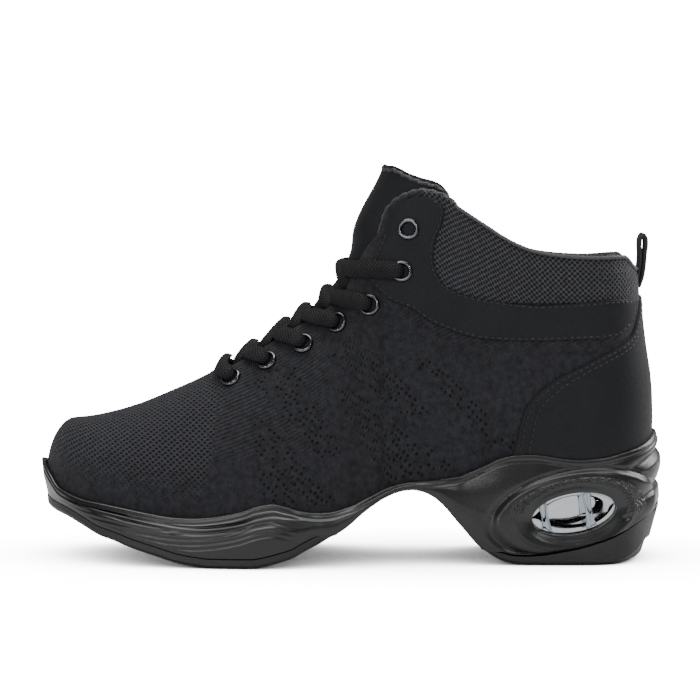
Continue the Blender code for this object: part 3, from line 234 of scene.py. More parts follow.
def heelBack(height):
    return last["heelCentre"] * smooth(shaftTable, 2, height / last["collar"])


# the last's skin: cross sections that are superellipses up to the heel's centre, then a fan of
# them round the heel. turn runs 0 to 1 from the toe to the heel's centre and on to 2 at its back
def lastPoint(turn, height, side):
    turn, height, side = np.broadcast_arrays(*(np.asarray(value, float) for value in (turn, height, side)))
    station = heelStation * np.minimum(turn, 1)
    wide = sideWidth(station, height, side) * np.cos(angleAt(station, height))
    angle = np.clip(turn - 1, 0, 1) * math.pi / 2
    power = 2 / last["roundness"]
    x = stationX(station) + heelBack(height) * np.sin(angle) ** power
    y = centreLine(station) + side * wide * np.maximum(np.cos(angle), 0) ** power
    return np.stack([x, y, height], -1)


def turnAt(station, height):  # the turn at which the skin reaches a station
    share = np.clip((station - heelStation) * last["length"] / heelBack(height), 0, 1)
    back = 1 + np.arcsin(share ** (last["roundness"] / 2)) * 2 / math.pi
    return np.where(station <= heelStation, station / heelStation, back)


def skinLevel(points):  # zero on the skin, positive outside it
    x, y, z = points[..., 0], points[..., 1], points[..., 2]
    station = np.clip((x - last["toeX"]) / last["length"], 0, heelStation)
    off = y - centreLine(station)
    side = np.where(off >= 0, 1, -1)
    wide = np.maximum(sideWidth(station, z, side), 1e-6)
    bed = bedHeight(station)
    up = (z - bed) / np.maximum(ridgeHeight(station) - bed, 1e-6)
    front = (off / wide) ** 2 + np.sign(up) * np.abs(up) ** smooth(planTable, 5, station) - 1
    closed = wide * np.maximum(np.cos(angleAt(station, z)), 1e-6)
    behind = np.abs(np.maximum(x - heelX, 0) / heelBack(z)) ** last["roundness"]
    back = behind + np.abs(off / closed) ** last["roundness"] - 1
    return np.where(x <= heelX, front, back)


def skinNormal(points):  # the gradient of the level, by central differences
    tip = points[..., 0] - last["toeX"]
    step = np.clip(tip * 0.3, 1e-5, 0.0004)[..., None]
    slopes = [skinLevel(points + step * axis) - skinLevel(points - step * axis) for axis in np.eye(3)]
    normal = np.stack(slopes, -1)
    return unit(np.where(tip[..., None] < 0.0002, np.array([-1.0, 0, 0]), normal))


def skinPoint(turn, height, side, out):  # the skin moved out along its normal
    point = lastPoint(turn, height, side)
    return point + skinNormal(point) * np.asarray(out, float)[..., None]


def topHeight(turn, side):  # the upper's top edge: ridge, throat edge or collar crest
    station = heelStation * np.minimum(turn, 1)
    angle = np.clip(turn - 1, 0, 1) * math.pi / 2
    place = station + heelBack(last["collar"]) * np.sin(angle) ** (2 / last["roundness"]) / last["length"]
    drop = last["innerDrop"] * (side > 0) * ease((0.97 - place) / 0.08)
    crest = last["collar"] * smooth(collarTable, 1, np.maximum(place, collarTable[0, 0])) - drop
    crest = crest - last["backFall"] * ease((place - 0.952) / 0.024)  # the rim falls away at the back seam
    half = last["ballWidth"] * smooth(throatTable, 1, station)
    half = half * np.clip((station - throatStart) / throatRound, 0, 1) ** 0.5
    full = np.maximum(halfWidth(station, side) * 1.01, 1e-6)
    share = (1 - np.minimum(half / full, 1) ** 2) ** (1 / smooth(planTable, 5, station))
    bed = bedHeight(station)
    edge = bed + (ridgeHeight(station) - bed) * share
    edge = np.where(station >= collarTable[0, 0], np.minimum(edge, crest), edge)
    edge = np.where(station <= throatStart, ridgeHeight(station), edge)
    return np.where(turn > 1, crest, edge)


# one way to make a mesh, and one to make a node
def linear(code):  # an sRGB hex value as linear light
    parts = np.array([int(code[i:i + 2], 16) for i in (1, 3, 5)]) / 255
    return (*np.where(parts <= 0.04045, parts / 12.92, ((parts + 0.055) / 1.055) ** 2.4), 1)


# a node with its settings; a link's name is its input with _ for a space, or i and the input's number
def addNode(tree, kind, settings=None, **links):
    node = tree.nodes.new(kind)
    for name, value in (settings or {}).items():
        if isinstance(name, str) and hasattr(node, name):
            setattr(node, name, value)
        else:
            node.inputs[name].default_value = value
    for name, source in links.items():
        socket = node.inputs[int(name[1:])] if name[1:].isdigit() else node.inputs[name.replace("_", " ")]
        tree.links.new(source, socket)
    return node


def makePiece(name, points, faces, material, uv=None, marks=None, slotName=None, stands=(), smoothAngle=60):
    mesh = bpy.data.meshes.new(name)
    mesh.from_pydata(np.asarray(points, float).reshape(-1, 3), [], faces)
    if uv is not None:
        corners = np.empty(len(mesh.loops), np.int32)
        mesh.loops.foreach_get("vertex_index", corners)
        layer = mesh.uv_layers.new(name="UVMap")
        layer.data.foreach_set("uv", np.asarray(uv, np.float32).reshape(-1, 2)[corners].ravel())
    for mark, values in (marks or {}).items():
        field = mesh.attributes.new(mark, "FLOAT", "POINT")
        field.data.foreach_set("value", np.asarray(values, np.float32).ravel())
    work = bmesh.new()
    work.from_mesh(mesh)
    bmesh.ops.remove_doubles(work, verts=work.verts, dist=2e-6)
    bmesh.ops.dissolve_degenerate(work, edges=work.edges, dist=1e-7)
    bmesh.ops.recalc_face_normals(work, faces=work.faces)
    work.to_mesh(mesh)
    work.free()
    mesh.materials.append(material)
    mesh.shade_smooth()
    mesh.set_sharp_from_angle(angle=math.radians(smoothAngle))
    piece = bpy.data.objects.new(name, mesh)
    bpy.context.scene.collection.objects.link(piece)
    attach(piece, "root")
    if stands:
        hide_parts(*stands)
    return piece


# quads over a grid of rows x columns, whose vertices are numbered row by row
def gridFaces(rows, columns, closedColumns=False, closedRows=False, start=0, flip=False):
    i = np.arange(rows if closedRows else rows - 1)[:, None]
    j = np.arange(columns if closedColumns else columns - 1)[None, :]
    nextI, nextJ = (i + 1) % rows, (j + 1) % columns
    corners = (i * columns + j, i * columns + nextJ, nextI * columns + nextJ, nextI * columns + j)
    quads = np.stack(np.broadcast_arrays(*corners), -1).reshape(-1, 4) + start
    return (quads[:, ::-1] if flip else quads).tolist()


# both sheets of a plate and the strip round its four edges, from two grids of the same size
def plateFaces(rows, columns):
    layer = rows * columns
    faces = gridFaces(rows, columns) + gridFaces(rows, columns, start=layer, flip=True)
    index = np.arange(layer).reshape(rows, columns)
    rim = np.concatenate([index[0, :-1], index[:-1, -1], index[-1, :0:-1], index[:0:-1, 0]])
    after = np.roll(rim, -1)
    return faces + np.stack([rim, rim + layer, after + layer, after], -1).tolist()


# a piece from two grids of the same size, closed round its edges
def makePlate(name, first, second, material, uv, slotName, stands=(), smoothAngle=60):
    faces, both = plateFaces(*first.shape[:2]), np.stack([uv, uv])
    sheets = np.stack([first, second])
    return makePiece(name, sheets, faces, material, both, None, slotName, stands, smoothAngle)


def arcLength(points):  # running length along the first axis
    steps = np.linalg.norm(np.diff(points, axis=0), axis=-1)
    return np.concatenate([np.zeros((1,) + steps.shape[1:]), np.cumsum(steps, 0)])


def readAt(places, length, values):  # each column of the values, read at places along a running length
    return np.stack([np.interp(places, length, column) for column in values.T], -1)


# a curve through points: Catmull-Rom, by running length, at count even places
def throughPoints(points, count):
    points = np.asarray(points, float)
    along = np.concatenate([[0], np.cumsum(np.linalg.norm(np.diff(points, axis=0), axis=1) ** 0.5)])
    slope = np.gradient(points, along, axis=0)
    fine = np.linspace(0, along[-1], count * 8)
    k = np.clip(np.searchsorted(along, fine, side="right") - 1, 0, len(along) - 2)
    span = (along[k + 1] - along[k])[:, None]
    u = ((fine - along[k])[:, None]) / span
    curve = points[k] * (1 + 2 * u) * (1 - u) ** 2 + points[k + 1] * u * u * (3 - 2 * u)
    curve = curve + span * u * (1 - u) * (slope[k] * (1 - u) - slope[k + 1] * u)
    length = arcLength(curve)
    return readAt(np.linspace(0, length[-1], count), length, curve)


# frames along a path: along from differences, up as near as may be to the given one, across square to both
def pathFrames(path, up):
    along = unit(np.gradient(path, axis=0))
    across = unit(np.cross(along, up))
    return along, across, np.cross(across, along)


# a profile of (across, up) points carried along a path; scale may narrow it along the way
def sweep(path, up, profile, scaleAcross=1.0, scaleUp=1.0):
    _, across, rise = pathFrames(path, up)
    profile = np.asarray(profile, float)
    if profile.ndim == 2:
        profile = np.broadcast_to(profile, (len(path),) + profile.shape)
    wide = profile[..., 0, None] * across[:, None] * np.reshape(scaleAcross, (-1, 1, 1))
    tall = profile[..., 1, None] * rise[:, None] * np.reshape(scaleUp, (-1, 1, 1))
    return path[:, None] + wide + tall


def tubeFaces(rows, columns, start=0):  # the wall of a closed sweep and its two end caps
    faces = gridFaces(rows, columns, closedColumns=True, start=start)
    faces.append([start + k for k in range(columns)][::-1])
    faces.append([start + (rows - 1) * columns + k for k in range(columns)])
    return faces


# stitches of thread: small capsules laid along a path, half sunk, each with its own frame
def stitchPoints(path, up, stitch):
    length = arcLength(path)
    count = max(int(length[-1] / stitch["pitch"]), 1)
    centre = (np.arange(count) + 0.5) * length[-1] / count
    middle = readAt(centre, length, path)
    along = unit(readAt(centre + 1e-4, length, path) - readAt(centre - 1e-4, length, path))
    across = unit(np.cross(along, readAt(centre, length, up)))
    rise = np.cross(across, along)
    turn = np.linspace(0, 2 * math.pi, 6, endpoint=False)
    place = np.array([-0.5, -0.42, -0.2, 0.2, 0.42, 0.5])
    fat = np.array([0.35, 0.8, 1.0, 1.0, 0.8, 0.35])
    dip = -0.5 * (np.abs(place) * 2) ** 3 * stitch["radius"]
    local = np.stack([
        np.broadcast_to(place[:, None] * stitch["length"], (6, 6)),
        fat[:, None] * np.cos(turn) * stitch["radius"],
        fat[:, None] * np.sin(turn) * stitch["radius"] + dip[:, None],
    ], -1).reshape(-1, 3)
    axes = np.stack([along, across, rise], 1)
    points = middle[:, None] + np.einsum("pk,ikx->ipx", local, axes)
    one = np.array(tubeFaces(6, 6)[:-2])
    caps = [[k for k in range(6)][::-1], [30 + k for k in range(6)]]
    quads = (one[None] + np.arange(count)[:, None, None] * 36).reshape(-1, 4).tolist()
    ends = [[v + n * 36 for v in cap] for n in range(count) for cap in caps]
    return points.reshape(-1, 3), quads + ends


def joinParts(parts):  # several (points, faces) made one
    points, faces, start = [], [], 0
    for some, theirs in parts:
        some = np.asarray(some, float).reshape(-1, 3)
        points.append(some)
        faces += [[v + start for v in face] for face in theirs]
        start += len(some)
    return np.concatenate(points), faces


def lineDistance(x, z, line):  # nearest distance to a polyline
    nearest = np.full(x.shape, 1e9)
    for (ax, az), (bx, bz) in zip(line[:-1], line[1:]):
        dx, dz = bx - ax, bz - az
        t = np.clip(((x - ax) * dx + (z - az) * dz) / max(dx * dx + dz * dz, 1e-12), 0, 1)
        nearest = np.minimum(nearest, np.hypot(x - ax - t * dx, z - az - t * dz))
    return nearest


# 1 inside a polygon and 0 outside, with a soft edge from the signed distance to its sides
def inArea(x, z, corners, soft):
    corners = np.asarray(corners, float)
    nearest = lineDistance(x, z, np.concatenate([corners, corners[:1]]))
    inside = np.zeros(x.shape, bool)
    for (ax, az), (bx, bz) in zip(corners, np.roll(corners, -1, 0)):
        at = ax + (z - az) * (bx - ax) / (bz - az if bz != az else 1e-9)
        inside ^= ((az > z) != (bz > z)) & (x < at)
    return ease(0.5 + np.where(inside, nearest, -nearest) / soft)


def nearLine(x, z, line, width):  # 1 on a polyline, falling to 0 at a distance
    return ease(1 - lineDistance(x, z, line) / width)


# materials. Patterns read the pieces' own UV maps, which are laid out in centimetres
def startMaterial(name, colour, roughness, sheen=(0.0, 0.5), specular=0.5, **extra):
    material = bpy.data.materials.new(name)
    material.use_nodes = True
    tree = material.node_tree
    shader = tree.nodes["Principled BSDF"]
    shader.inputs["Base Color"].default_value = linear(colour)
    shader.inputs["Roughness"].default_value = roughness
    shader.inputs["Sheen Weight"].default_value, shader.inputs["Sheen Roughness"].default_value = sheen
    shader.inputs["Specular IOR Level"].default_value = specular
    for key, value in extra.items():
        shader.inputs[key.replace("_", " ")].default_value = value
    return material, tree, shader


# the UV map scaled so that one pitch in mm is one unit, turned in degrees
def uvPattern(tree, pitch, turn=0.0, stretch=(1, 1)):
    source = addNode(tree, "ShaderNodeTexCoord").outputs["UV"]
    scale = (10 / pitch * stretch[0], 10 / pitch * stretch[1], 1)
    settings = {"Rotation": (0, 0, math.radians(turn)), "Scale": scale}
    return addNode(tree, "ShaderNodeMapping", settings, Vector=source).outputs[0]


def mathNode(tree, operation, first, second):
    settings = {"operation": operation}
    links = {"i0": first}
    if isinstance(second, (int, float)):
        settings[1] = second
    else:
        links["i1"] = second
    return addNode(tree, "ShaderNodeMath", settings, **links).outputs[0]


def holes(tree, pitch, turn, low, high, stretch=(1, 1), randomness=0.1):  # 1 inside round holes on a lattice
    vector = uvPattern(tree, pitch, turn, stretch)
    cell = addNode(tree, "ShaderNodeTexVoronoi", {"Scale": 1.0, "Randomness": randomness}, Vector=vector)
    settings = {"interpolation_type": "SMOOTHSTEP", "From Min": high, "From Max": low}
    return addNode(tree, "ShaderNodeMapRange", settings, Value=cell.outputs["Distance"]).outputs[0]


def stripes(tree, pitch, turn, wobble=0.0):  # 0 to 1 across bands of a pitch in mm
    onePeriod = 0.314159  # the node's bands are this far apart at scale 1
    settings = {"Scale": onePeriod, "Distortion": wobble, "Detail Scale": 3.0}
    return addNode(tree, "ShaderNodeTexWave", settings, Vector=uvPattern(tree, pitch, turn)).outputs["Fac"]


def mark(tree, name):
    return addNode(tree, "ShaderNodeAttribute", {"attribute_name": name}).outputs["Fac"]


def grain(tree, size, detail=2.0):  # noise on Object coordinates, its grain in mm
    place = addNode(tree, "ShaderNodeTexCoord").outputs["Object"]
    settings = {"Scale": 1000 / size, "Detail": detail}
    return addNode(tree, "ShaderNodeTexNoise", settings, Vector=place).outputs["Fac"]


def paint(tree, shader, dark, light, factor):  # the base colour, from dark to light with the factor
    ramp = addNode(tree, "ShaderNodeValToRGB", Fac=factor)
    ramp.color_ramp.elements[0].color = linear(dark)
    ramp.color_ramp.elements[1].color = linear(light)
    tree.links.new(ramp.outputs["Color"], shader.inputs["Base Color"])


def roughen(tree, shader, low, high, factor):  # the roughness, from low to high with the factor
    level = addNode(tree, "ShaderNodeMapRange", {"To Min": low, "To Max": high}, Value=factor)
    tree.links.new(level.outputs[0], shader.inputs["Roughness"])


def bumpInto(tree, shader, height, distance, strength=1.0):
    bump = addNode(tree, "ShaderNodeBump", {"Distance": distance, "Strength": strength}, Height=height)
    tree.links.new(bump.outputs[0], shader.inputs["Normal"])


# circular-knit polyester with pierced fields: dull yarn, dark holes, rows of stitches too fine to count; the
# pierced toe field is painted lighter towards its top, as painted light
def knitMaterial():
    material, tree, shader = startMaterial("circular knit polyester", "#0b0b0d", 0.72, (0.05, 0.4), 0.18)
    fine = mathNode(tree, "MULTIPLY", holes(tree, 1.85, 45, 0.18, 0.44), mark(tree, "vamp"))
    coarse = holes(tree, 2.3, 38, 0.12, 0.34, (1, 0.8), 0.35)
    coarse = mathNode(tree, "MULTIPLY", coarse, mark(tree, "pierced"))
    hole = mathNode(tree, "MAXIMUM", fine, coarse)
    ribs = mathNode(tree, "MULTIPLY", stripes(tree, 1.7, 68, 1.2), mark(tree, "ribs"))
    loops = mathNode(tree, "MULTIPLY", stripes(tree, 0.85, 0, 2.0), 0.35)  # real stitches are 0.5 mm
    relief = mathNode(tree, "ADD", mathNode(tree, "MULTIPLY", ribs, 0.6), loops)
    relief = mathNode(tree, "SUBTRACT", relief, mathNode(tree, "MULTIPLY", hole, 1.6))
    bumpInto(tree, shader, relief, 0.0006)
    # the grain is the yarn's own tone and the holes are dark; the vamp term is painted light, lifting the
    # pierced toe field more the higher it is above the sole, for the light on the top of the toe
    yarnAndToeLight = mathNode(tree, "ADD", grain(tree, 2.5), mathNode(tree, "MULTIPLY", mark(tree, "vamp"), 0.5))
    yarnAndToeLight = mathNode(tree, "SUBTRACT", yarnAndToeLight, mathNode(tree, "MULTIPLY", hole, 1.3))
    paint(tree, shader, "#010101", "#303036", yarnAndToeLight)
    return material


# polyester spacer mesh: a soft net over foam, its wales picking up light between the holes
def meshMaterial():
    material, tree, shader = startMaterial("spacer mesh", "#0c0c0e", 0.6, (0.08, 0.4), 0.2)
    hole = holes(tree, 1.6, 45, 0.30, 0.46, randomness=0.12)
    dents = mathNode(tree, "MULTIPLY", grain(tree, 1.2), 0.5)
    bumpInto(tree, shader, mathNode(tree, "SUBTRACT", dents, hole), 0.0008)
    net = mathNode(tree, "SUBTRACT", mathNode(tree, "ADD", grain(tree, 1.2), 0.25), hole)
    paint(tree, shader, "#000000", "#3f3f46", net)
    return material


# microfibre nubuck, sueded: even and matt, a little paler where it is brushed
def nubuckMaterial():
    material, tree, shader = startMaterial("sueded microfibre", "#08090b", 0.62, (0.03, 0.4), 0.22)
    bumpInto(tree, shader, grain(tree, 0.5, 4.0), 0.00012, 0.7)
    paint(tree, shader, "#090a0d", "#131418", grain(tree, 9.0))
    return material


# flat woven polyester lace: herringbone of two-ply yarns, slight lustre
def laceMaterial():
    material, tree, shader = startMaterial("woven polyester lace", "#0a0a0c", 0.6, specular=0.2)
    weave = mathNode(tree, "MAXIMUM", stripes(tree, 1.1, 52), stripes(tree, 1.1, 128))
    bumpInto(tree, shader, weave, 0.0003)
    paint(tree, shader, "#030304", "#111114", weave)
    return material


# twisted nylon piping cord: two plies, brighter on their crowns
def cordMaterial():
    material, tree, shader = startMaterial("twisted nylon piping", "#2b2b30", 0.4, (0.05, 0.5))
    bumpInto(tree, shader, stripes(tree, 0.5, 60), 0.00012)
    return material


# grosgrain webbing: straight weft ribs across the ribbon
def webbingMaterial():
    material, tree, shader = startMaterial("grosgrain webbing", "#08080a", 0.6, (0.05, 0.5))
    ribs = stripes(tree, 0.9, 90)
    bumpInto(tree, shader, ribs, 0.0003)
    paint(tree, shader, "#030303", "#0d0d0f", ribs)
    return material


# bonded nylon thread: slightly glossy
def threadMaterial():
    return startMaterial("bonded nylon thread", "#0c0c0f", 0.4)[0]


# moulded polyurethane cup: satin, with a spark-eroded stipple where marked
def soleMaterial():
    material, tree, shader = startMaterial("moulded polyurethane", "#050607", 0.3)
    rough = mark(tree, "stipple")
    place = addNode(tree, "ShaderNodeTexCoord").outputs["Object"]
    dots = addNode(tree, "ShaderNodeTexVoronoi", {"Scale": 1000 / 1.1}, Vector=place).outputs["Distance"]
    fine = mathNode(tree, "MULTIPLY", grain(tree, 0.7), 0.10)
    bumpInto(tree, shader, mathNode(tree, "ADD", mathNode(tree, "MULTIPLY", dots, rough), fine), 0.0007)
    clouds = mathNode(tree, "MULTIPLY", grain(tree, 14), 0.6)
    roughen(tree, shader, 0.28, 0.44, mathNode(tree, "MAXIMUM", rough, clouds))
    return material


# carbon-filled rubber: duller than the cup, scuffed at random
def treadMaterial():
    material, tree, shader = startMaterial("carbon rubber", "#060607", 0.5)
    bumpInto(tree, shader, grain(tree, 0.8), 0.0002, 0.6)
    roughen(tree, shader, 0.42, 0.62, grain(tree, 12))
    return material


# clear thermoplastic polyurethane, blow moulded: see-through with a bright rim
def clearMaterial():
    return startMaterial("clear polyurethane", "#d9dee3", 0.04, Transmission_Weight=1.0, IOR=1.16)[0]


# black nickel over brass, barrel polished: dark mirror with soft edges
def eyeletMaterial():
    material, tree, shader = startMaterial("black nickel plating", "#5a5a60", 0.16, Metallic=1.0)
    roughen(tree, shader, 0.10, 0.24, grain(tree, 2.0))
    return material


# brushed tricot over the foam inside: dull, soft, finely ribbed
def liningMaterial():
    material, tree, shader = startMaterial("tricot lining", "#070708", 0.8, (0.08, 0.5))
    ribs = stripes(tree, 1.2, 0, 0.6)
    bumpInto(tree, shader, ribs, 0.0002)
    paint(tree, shader, "#030303", "#0a0a0c", ribs)
    return material


knit, spacerMesh, nubuck, lace = knitMaterial(), meshMaterial(), nubuckMaterial(), laceMaterial()
cordPiping, webbing, thread, lining = cordMaterial(), webbingMaterial(), threadMaterial(), liningMaterial()
soleFoam, treadRubber = soleMaterial(), treadMaterial()
clearPlastic, blackNickel = clearMaterial(), eyeletMaterial()
print("materials made")


# upper: one dense shell from toe to heel, outer and inner sheet joined by a rolled rim
upper = {
    "spacing": 0.00092, "rows": 84, "fan": 52, "rim": 0.5,
    # fields of the knit seen from the side, in metres along and up: pierced bands between plain ones
    "bands": [
        [(-0.0406, 0.0617), (-0.0340, 0.0596), (-0.0062, 0.0263), (-0.0352, 0.0263)],
        [(-0.0415, 0.0762), (-0.0249, 0.0846), (-0.0041, 0.0471), (-0.0124, 0.0450), (-0.0207, 0.0554)],
        [(-0.0083, 0.0866), (0.0000, 0.0970), (0.0332, 0.0658), (0.0269, 0.0596)],
        [(-0.0070, 0.0729), (0.0000, 0.0750), (0.0435, 0.0408), (0.0166, 0.0346)],
        [(0.0240, 0.0875), (0.0373, 0.0846), (0.0705, 0.0492), (0.0622, 0.0471)],
    ],
    "channels": [
        [(-0.0518, 0.0721), (-0.0500, 0.0520), (-0.0456, 0.0242)],
        [(-0.0415, 0.0617), (-0.0352, 0.0263)],
        [(-0.0340, 0.0596), (-0.0249, 0.0492), (-0.0083, 0.0283)],
        [(-0.0207, 0.0846), (-0.0124, 0.0658)],
        [(0.0166, 0.0450), (0.0280, 0.0330)],
    ],
    # soft creases: middle, direction in degrees, length, width, depth (a ridge where it is negative)
    "creases": [
        (-0.0560, 0.0800, 62, 0.030, 0.0032, 0.0006), (-0.0480, 0.0700, 70, 0.036, 0.0040, -0.0004),
        (-0.0640, 0.0560, 35, 0.040, 0.0050, 0.0005), (-0.0740, 0.0660, 20, 0.030, 0.0050, -0.0004),
        (0.0120, 0.0700, -38, 0.045, 0.0060, 0.0006), (0.0300, 0.0790, -40, 0.040, 0.0055, -0.0004),
        (0.0520, 0.0560, -60, 0.030, 0.0060, 0.0005), (0.0440, 0.1150, -10, 0.030, 0.0060, 0.0005),
    ],
}


def toeStations(count):  # stations over the rounded toe, closer at its tip
    angle = np.linspace(0, math.pi / 2, count + 1)
    return (1 - np.cos(angle) ** (2 / last["roundness"])) * last["toePlan"] / last["length"]


def turnsAlong(spacing, fan, first=0.0, dense=()):  # turns from the toe to the back of the heel
    toe = toeStations(int(last["toePlan"] * 1.5 / spacing))
    step = spacing / last["length"]
    rest = np.arange(toe[-1] + step, heelStation - 0.5 * step, step)
    stations = np.unique(np.concatenate([toe, rest, np.asarray(dense, float)]))
    stations = stations[(stations >= first) & (stations < heelStation - 1e-4)]
    return np.concatenate([stations / heelStation, 1 + np.linspace(0, 1, fan + 1)])


def floorStation(turn, side):
    point = lastPoint(turn, last["heelBed"], side)
    behind = np.minimum((point[..., 0] - last["toeX"]) / last["length"], 1)
    return np.where(turn <= 1, heelStation * turn, behind)


# heights up each column: equal steps of the section's own angle, and round the heel the same
# shares as at its centre
def columnHeights(turn, side, rows, rim):
    turn, side = turn[:, None], side[:, None]
    station = heelStation * np.minimum(turn, 1)
    low = bedHeight(floorStation(turn, side)) + last["gap"]
    crest = topHeight(turn, side)
    openTop = (turn > 1) | (station > throatStart + 1e-6)
    wall = last["wall"] + last["pad"] * padShare(station, crest)
    rise = np.where(openTop, rim * wall, 0)
    top = crest - rise
    step = np.linspace(0, 1, rows + 1)[None]

    def shares(station, low, top):
        shape = smooth(planTable, 5, station)
        start, end = angleAt(station, low), angleAt(station, top)
        power = 1 + (shape / 2 - 1) * (1 - end / (math.pi / 2))
        angle = start + (end - start) * step ** power
        bed = bedHeight(station)
        height = bed + (ridgeHeight(station) - bed) * np.sin(angle) ** (2 / shape)
        return (height - low) / np.maximum(top - low, 1e-9)

    atHeel = np.full_like(turn, 1.0)
    lowHeel = bedHeight(heelStation * atHeel) + last["gap"]
    topHeel = topHeight(atHeel, side) - rim * (last["wall"] + last["pad"])
    share = np.where(turn > 1, shares(heelStation * atHeel, lowHeel, topHeel), shares(station, low, top))
    return low + np.clip(share, 0, 1) * (top - low), station, openTop


# channels dent the knit, the pierced bands lie a little lower, creases are long soft troughs and ridges
def knitRelief(x, z):
    out = np.zeros(x.shape)
    for line in upper["channels"]:
        out -= 0.00045 * nearLine(x, z, line, 0.0011)
    for band in upper["bands"]:
        out -= 0.00012 * inArea(x, z, band, 0.003)
    for cx, cz, turn, length, width, depth in upper["creases"]:
        a = math.radians(turn)
        along = (x - cx) * math.cos(a) + (z - cz) * math.sin(a)
        off = (z - cz) * math.cos(a) - (x - cx) * math.sin(a) - 0.12 * along * along / length
        out -= depth * np.exp(-(along / (length * 0.5)) ** 2 - (off / width) ** 2)
    return out


def buildUpper():
    dense = throatStart + throatRound * np.array([0, 0.02, 0.08, 0.18, 0.32, 0.5, 0.7, 0.85])
    turns = turnsAlong(upper["spacing"], upper["fan"], dense=dense)
    columns = np.concatenate([turns, turns[-2:0:-1]])
    sides = np.concatenate([np.full(len(turns), outerSide), np.full(len(turns) - 2, innerSide)])
    heights, station, openTop = columnHeights(columns, sides, upper["rows"], upper["rim"])
    base = lastPoint(columns[:, None], heights, sides[:, None])
    normal = skinNormal(base)
    relief = knitRelief(base[..., 0], base[..., 2])
    edgeFade = ease((np.linspace(1, 0, upper["rows"] + 1)[None] * (heights[:, -1:] - heights[:, :1])) / 0.004)
    shell = base + normal * (relief * edgeFade)[..., None]
    wall = last["wall"] + last["pad"] * padShare(station, heights)
    inner = base - normal * wall[..., None]
    up = unit(shell[:, -1] - shell[:, -2])
    rims = []  # a half round over the wall's top edge
    middle, half = (shell[:, -1] + inner[:, -1]) / 2, (shell[:, -1] - inner[:, -1]) / 2
    lift = np.where(openTop, upper["rim"] * wall[:, -1:], 0)
    for angle in np.linspace(0, math.pi, 9)[1:-1]:
        rims.append(middle + half * math.cos(angle) + up * lift * math.sin(angle))
    innerRows = inner[:, ::-1][:, 1::2]
    rows = np.concatenate([shell, np.stack(rims, 1), inner[:, -1:], innerRows], 1)
    if upper["rows"] % 2 == 0:
        rows = np.concatenate([rows, inner[:, :1]], 1)
    height = arcLength(np.swapaxes(shell, 0, 1)).T
    waist = shell[:, upper["rows"] // 2]
    across = arcLength(waist)
    across = np.minimum(across, across[-1] + np.linalg.norm(waist[0] - waist[-1]) - across)
    outUv = np.stack([np.broadcast_to(across[:, None], height.shape), height], -1) * 100
    rest = rows.shape[1] - outUv.shape[1]
    uv = np.concatenate([outUv, outUv[:, ::-1][:, np.minimum(np.arange(rest) * 2, outUv.shape[1] - 1)]], 1)
    x, z = base[..., 0], base[..., 2]
    bands = np.max([inArea(x, z, band, 0.003) for band in upper["bands"]], 0)
    fromSole = z - lipHeight(station)
    # the pierced toe field; the knit's colour is also painted lighter here towards the top, as painted light
    vamp = ease((-0.0545 - x + 0.18 * (z - 0.05)) / 0.006) * ease((fromSole - 0.004) / 0.022)
    ribs = ease((x + 0.066) / 0.010) * ease((-0.004 - x) / 0.012) * ease((z - 0.040) / 0.012)
    ribs = np.maximum(ribs, ease((x - 0.018) / 0.01) * ease((z - 0.088) / 0.008))
    ribs = ribs * (1 - bands)

    def widen(values):
        return np.concatenate([values, np.zeros((len(values), rest))], 1)

    marks = {"vamp": widen(vamp), "pierced": widen(bands), "ribs": widen(ribs)}
    count, width = rows.shape[:2]
    faces = np.array(gridFaces(count, width, closedColumns=True, closedRows=True)).reshape(count, width, 4)
    isOpen = openTop[:, 0] | np.roll(openTop[:, 0], -1)  # the toe has no rim: its two sides meet at the ridge
    keep = np.ones((count, width), bool)
    keep[~isOpen, upper["rows"]:upper["rows"] + 8] = False
    faces = faces[keep].tolist()
    return makePiece("upperKnit", rows, faces, knit, uv, marks, "knit", ["upper"])


buildUpper()
print("upper made")


# overlays: eyestay with collar band, and heel counter, with their seams
overlay = {
    "thickness": 0.0010, "edge": 0.0009, "stitchIn": 0.0012, "stitchApart": 0.0019, "stitchOut": 0.0013,
    "groove": 0.00022, "grooveWidth": 0.0004,
}
seam = {"pitch": 0.0027, "length": 0.0018, "radius": 0.00026}
# rows from the tab's top round its foot to the heel: station and height of the outer and the inner edge
bandTable = np.array([
    (0.6130, 1.187, 0.6250, 1.189), (0.5880, 1.168, 0.6440, 1.177), (0.5745, 1.136, 0.6590, 1.148),
    (0.5675, 1.100, 0.6550, 1.097), (0.5590, 1.050, 0.6451, 1.049), (0.5495, 1.005, 0.6417, 0.991),
    (0.5400, 0.960, 0.6480, 0.936), (0.5385, 0.922, 0.6609, 0.898), (0.5522, 0.887, 0.6750, 0.884),
    (0.5716, 0.856, 0.6900, 0.870), (0.6040, 0.831, 0.7174, 0.857), (0.6363, 0.786, 0.7497, 0.848),
    (0.7010, 0.738, 0.7800, 0.842), (0.7495, 0.726, 0.8144, 0.838), (0.8141, 0.723, 0.8500, 0.842),
    (0.8640, 0.726, 0.8794, 0.847), (0.8890, 0.728, 0.9050, 0.851), (0.9127, 0.730, 0.9296, 0.855),
    (0.9265, 0.733, 0.9415, 0.856), (0.9400, 0.736, 0.9530, 0.856), (0.9580, 0.766, 0.9700, 0.853),
])
# the counter's front edge: station, or past 1 the turn round the heel, and height
counterTable = np.array([
    (0.7703, 0.359), (0.7767, 0.408), (0.7817, 0.456), (0.7899, 0.504), (0.8012, 0.536), (0.8174, 0.565),
    (0.8384, 0.597), (0.8711, 0.632), (0.8925, 0.652), (0.9125, 0.672), (0.9300, 0.690), (0.9472, 0.707),
    (0.9651, 0.737), (0.9750, 0.784), (1.8000, 0.815), (1.9000, 0.846), (2.0000, 0.862),
])


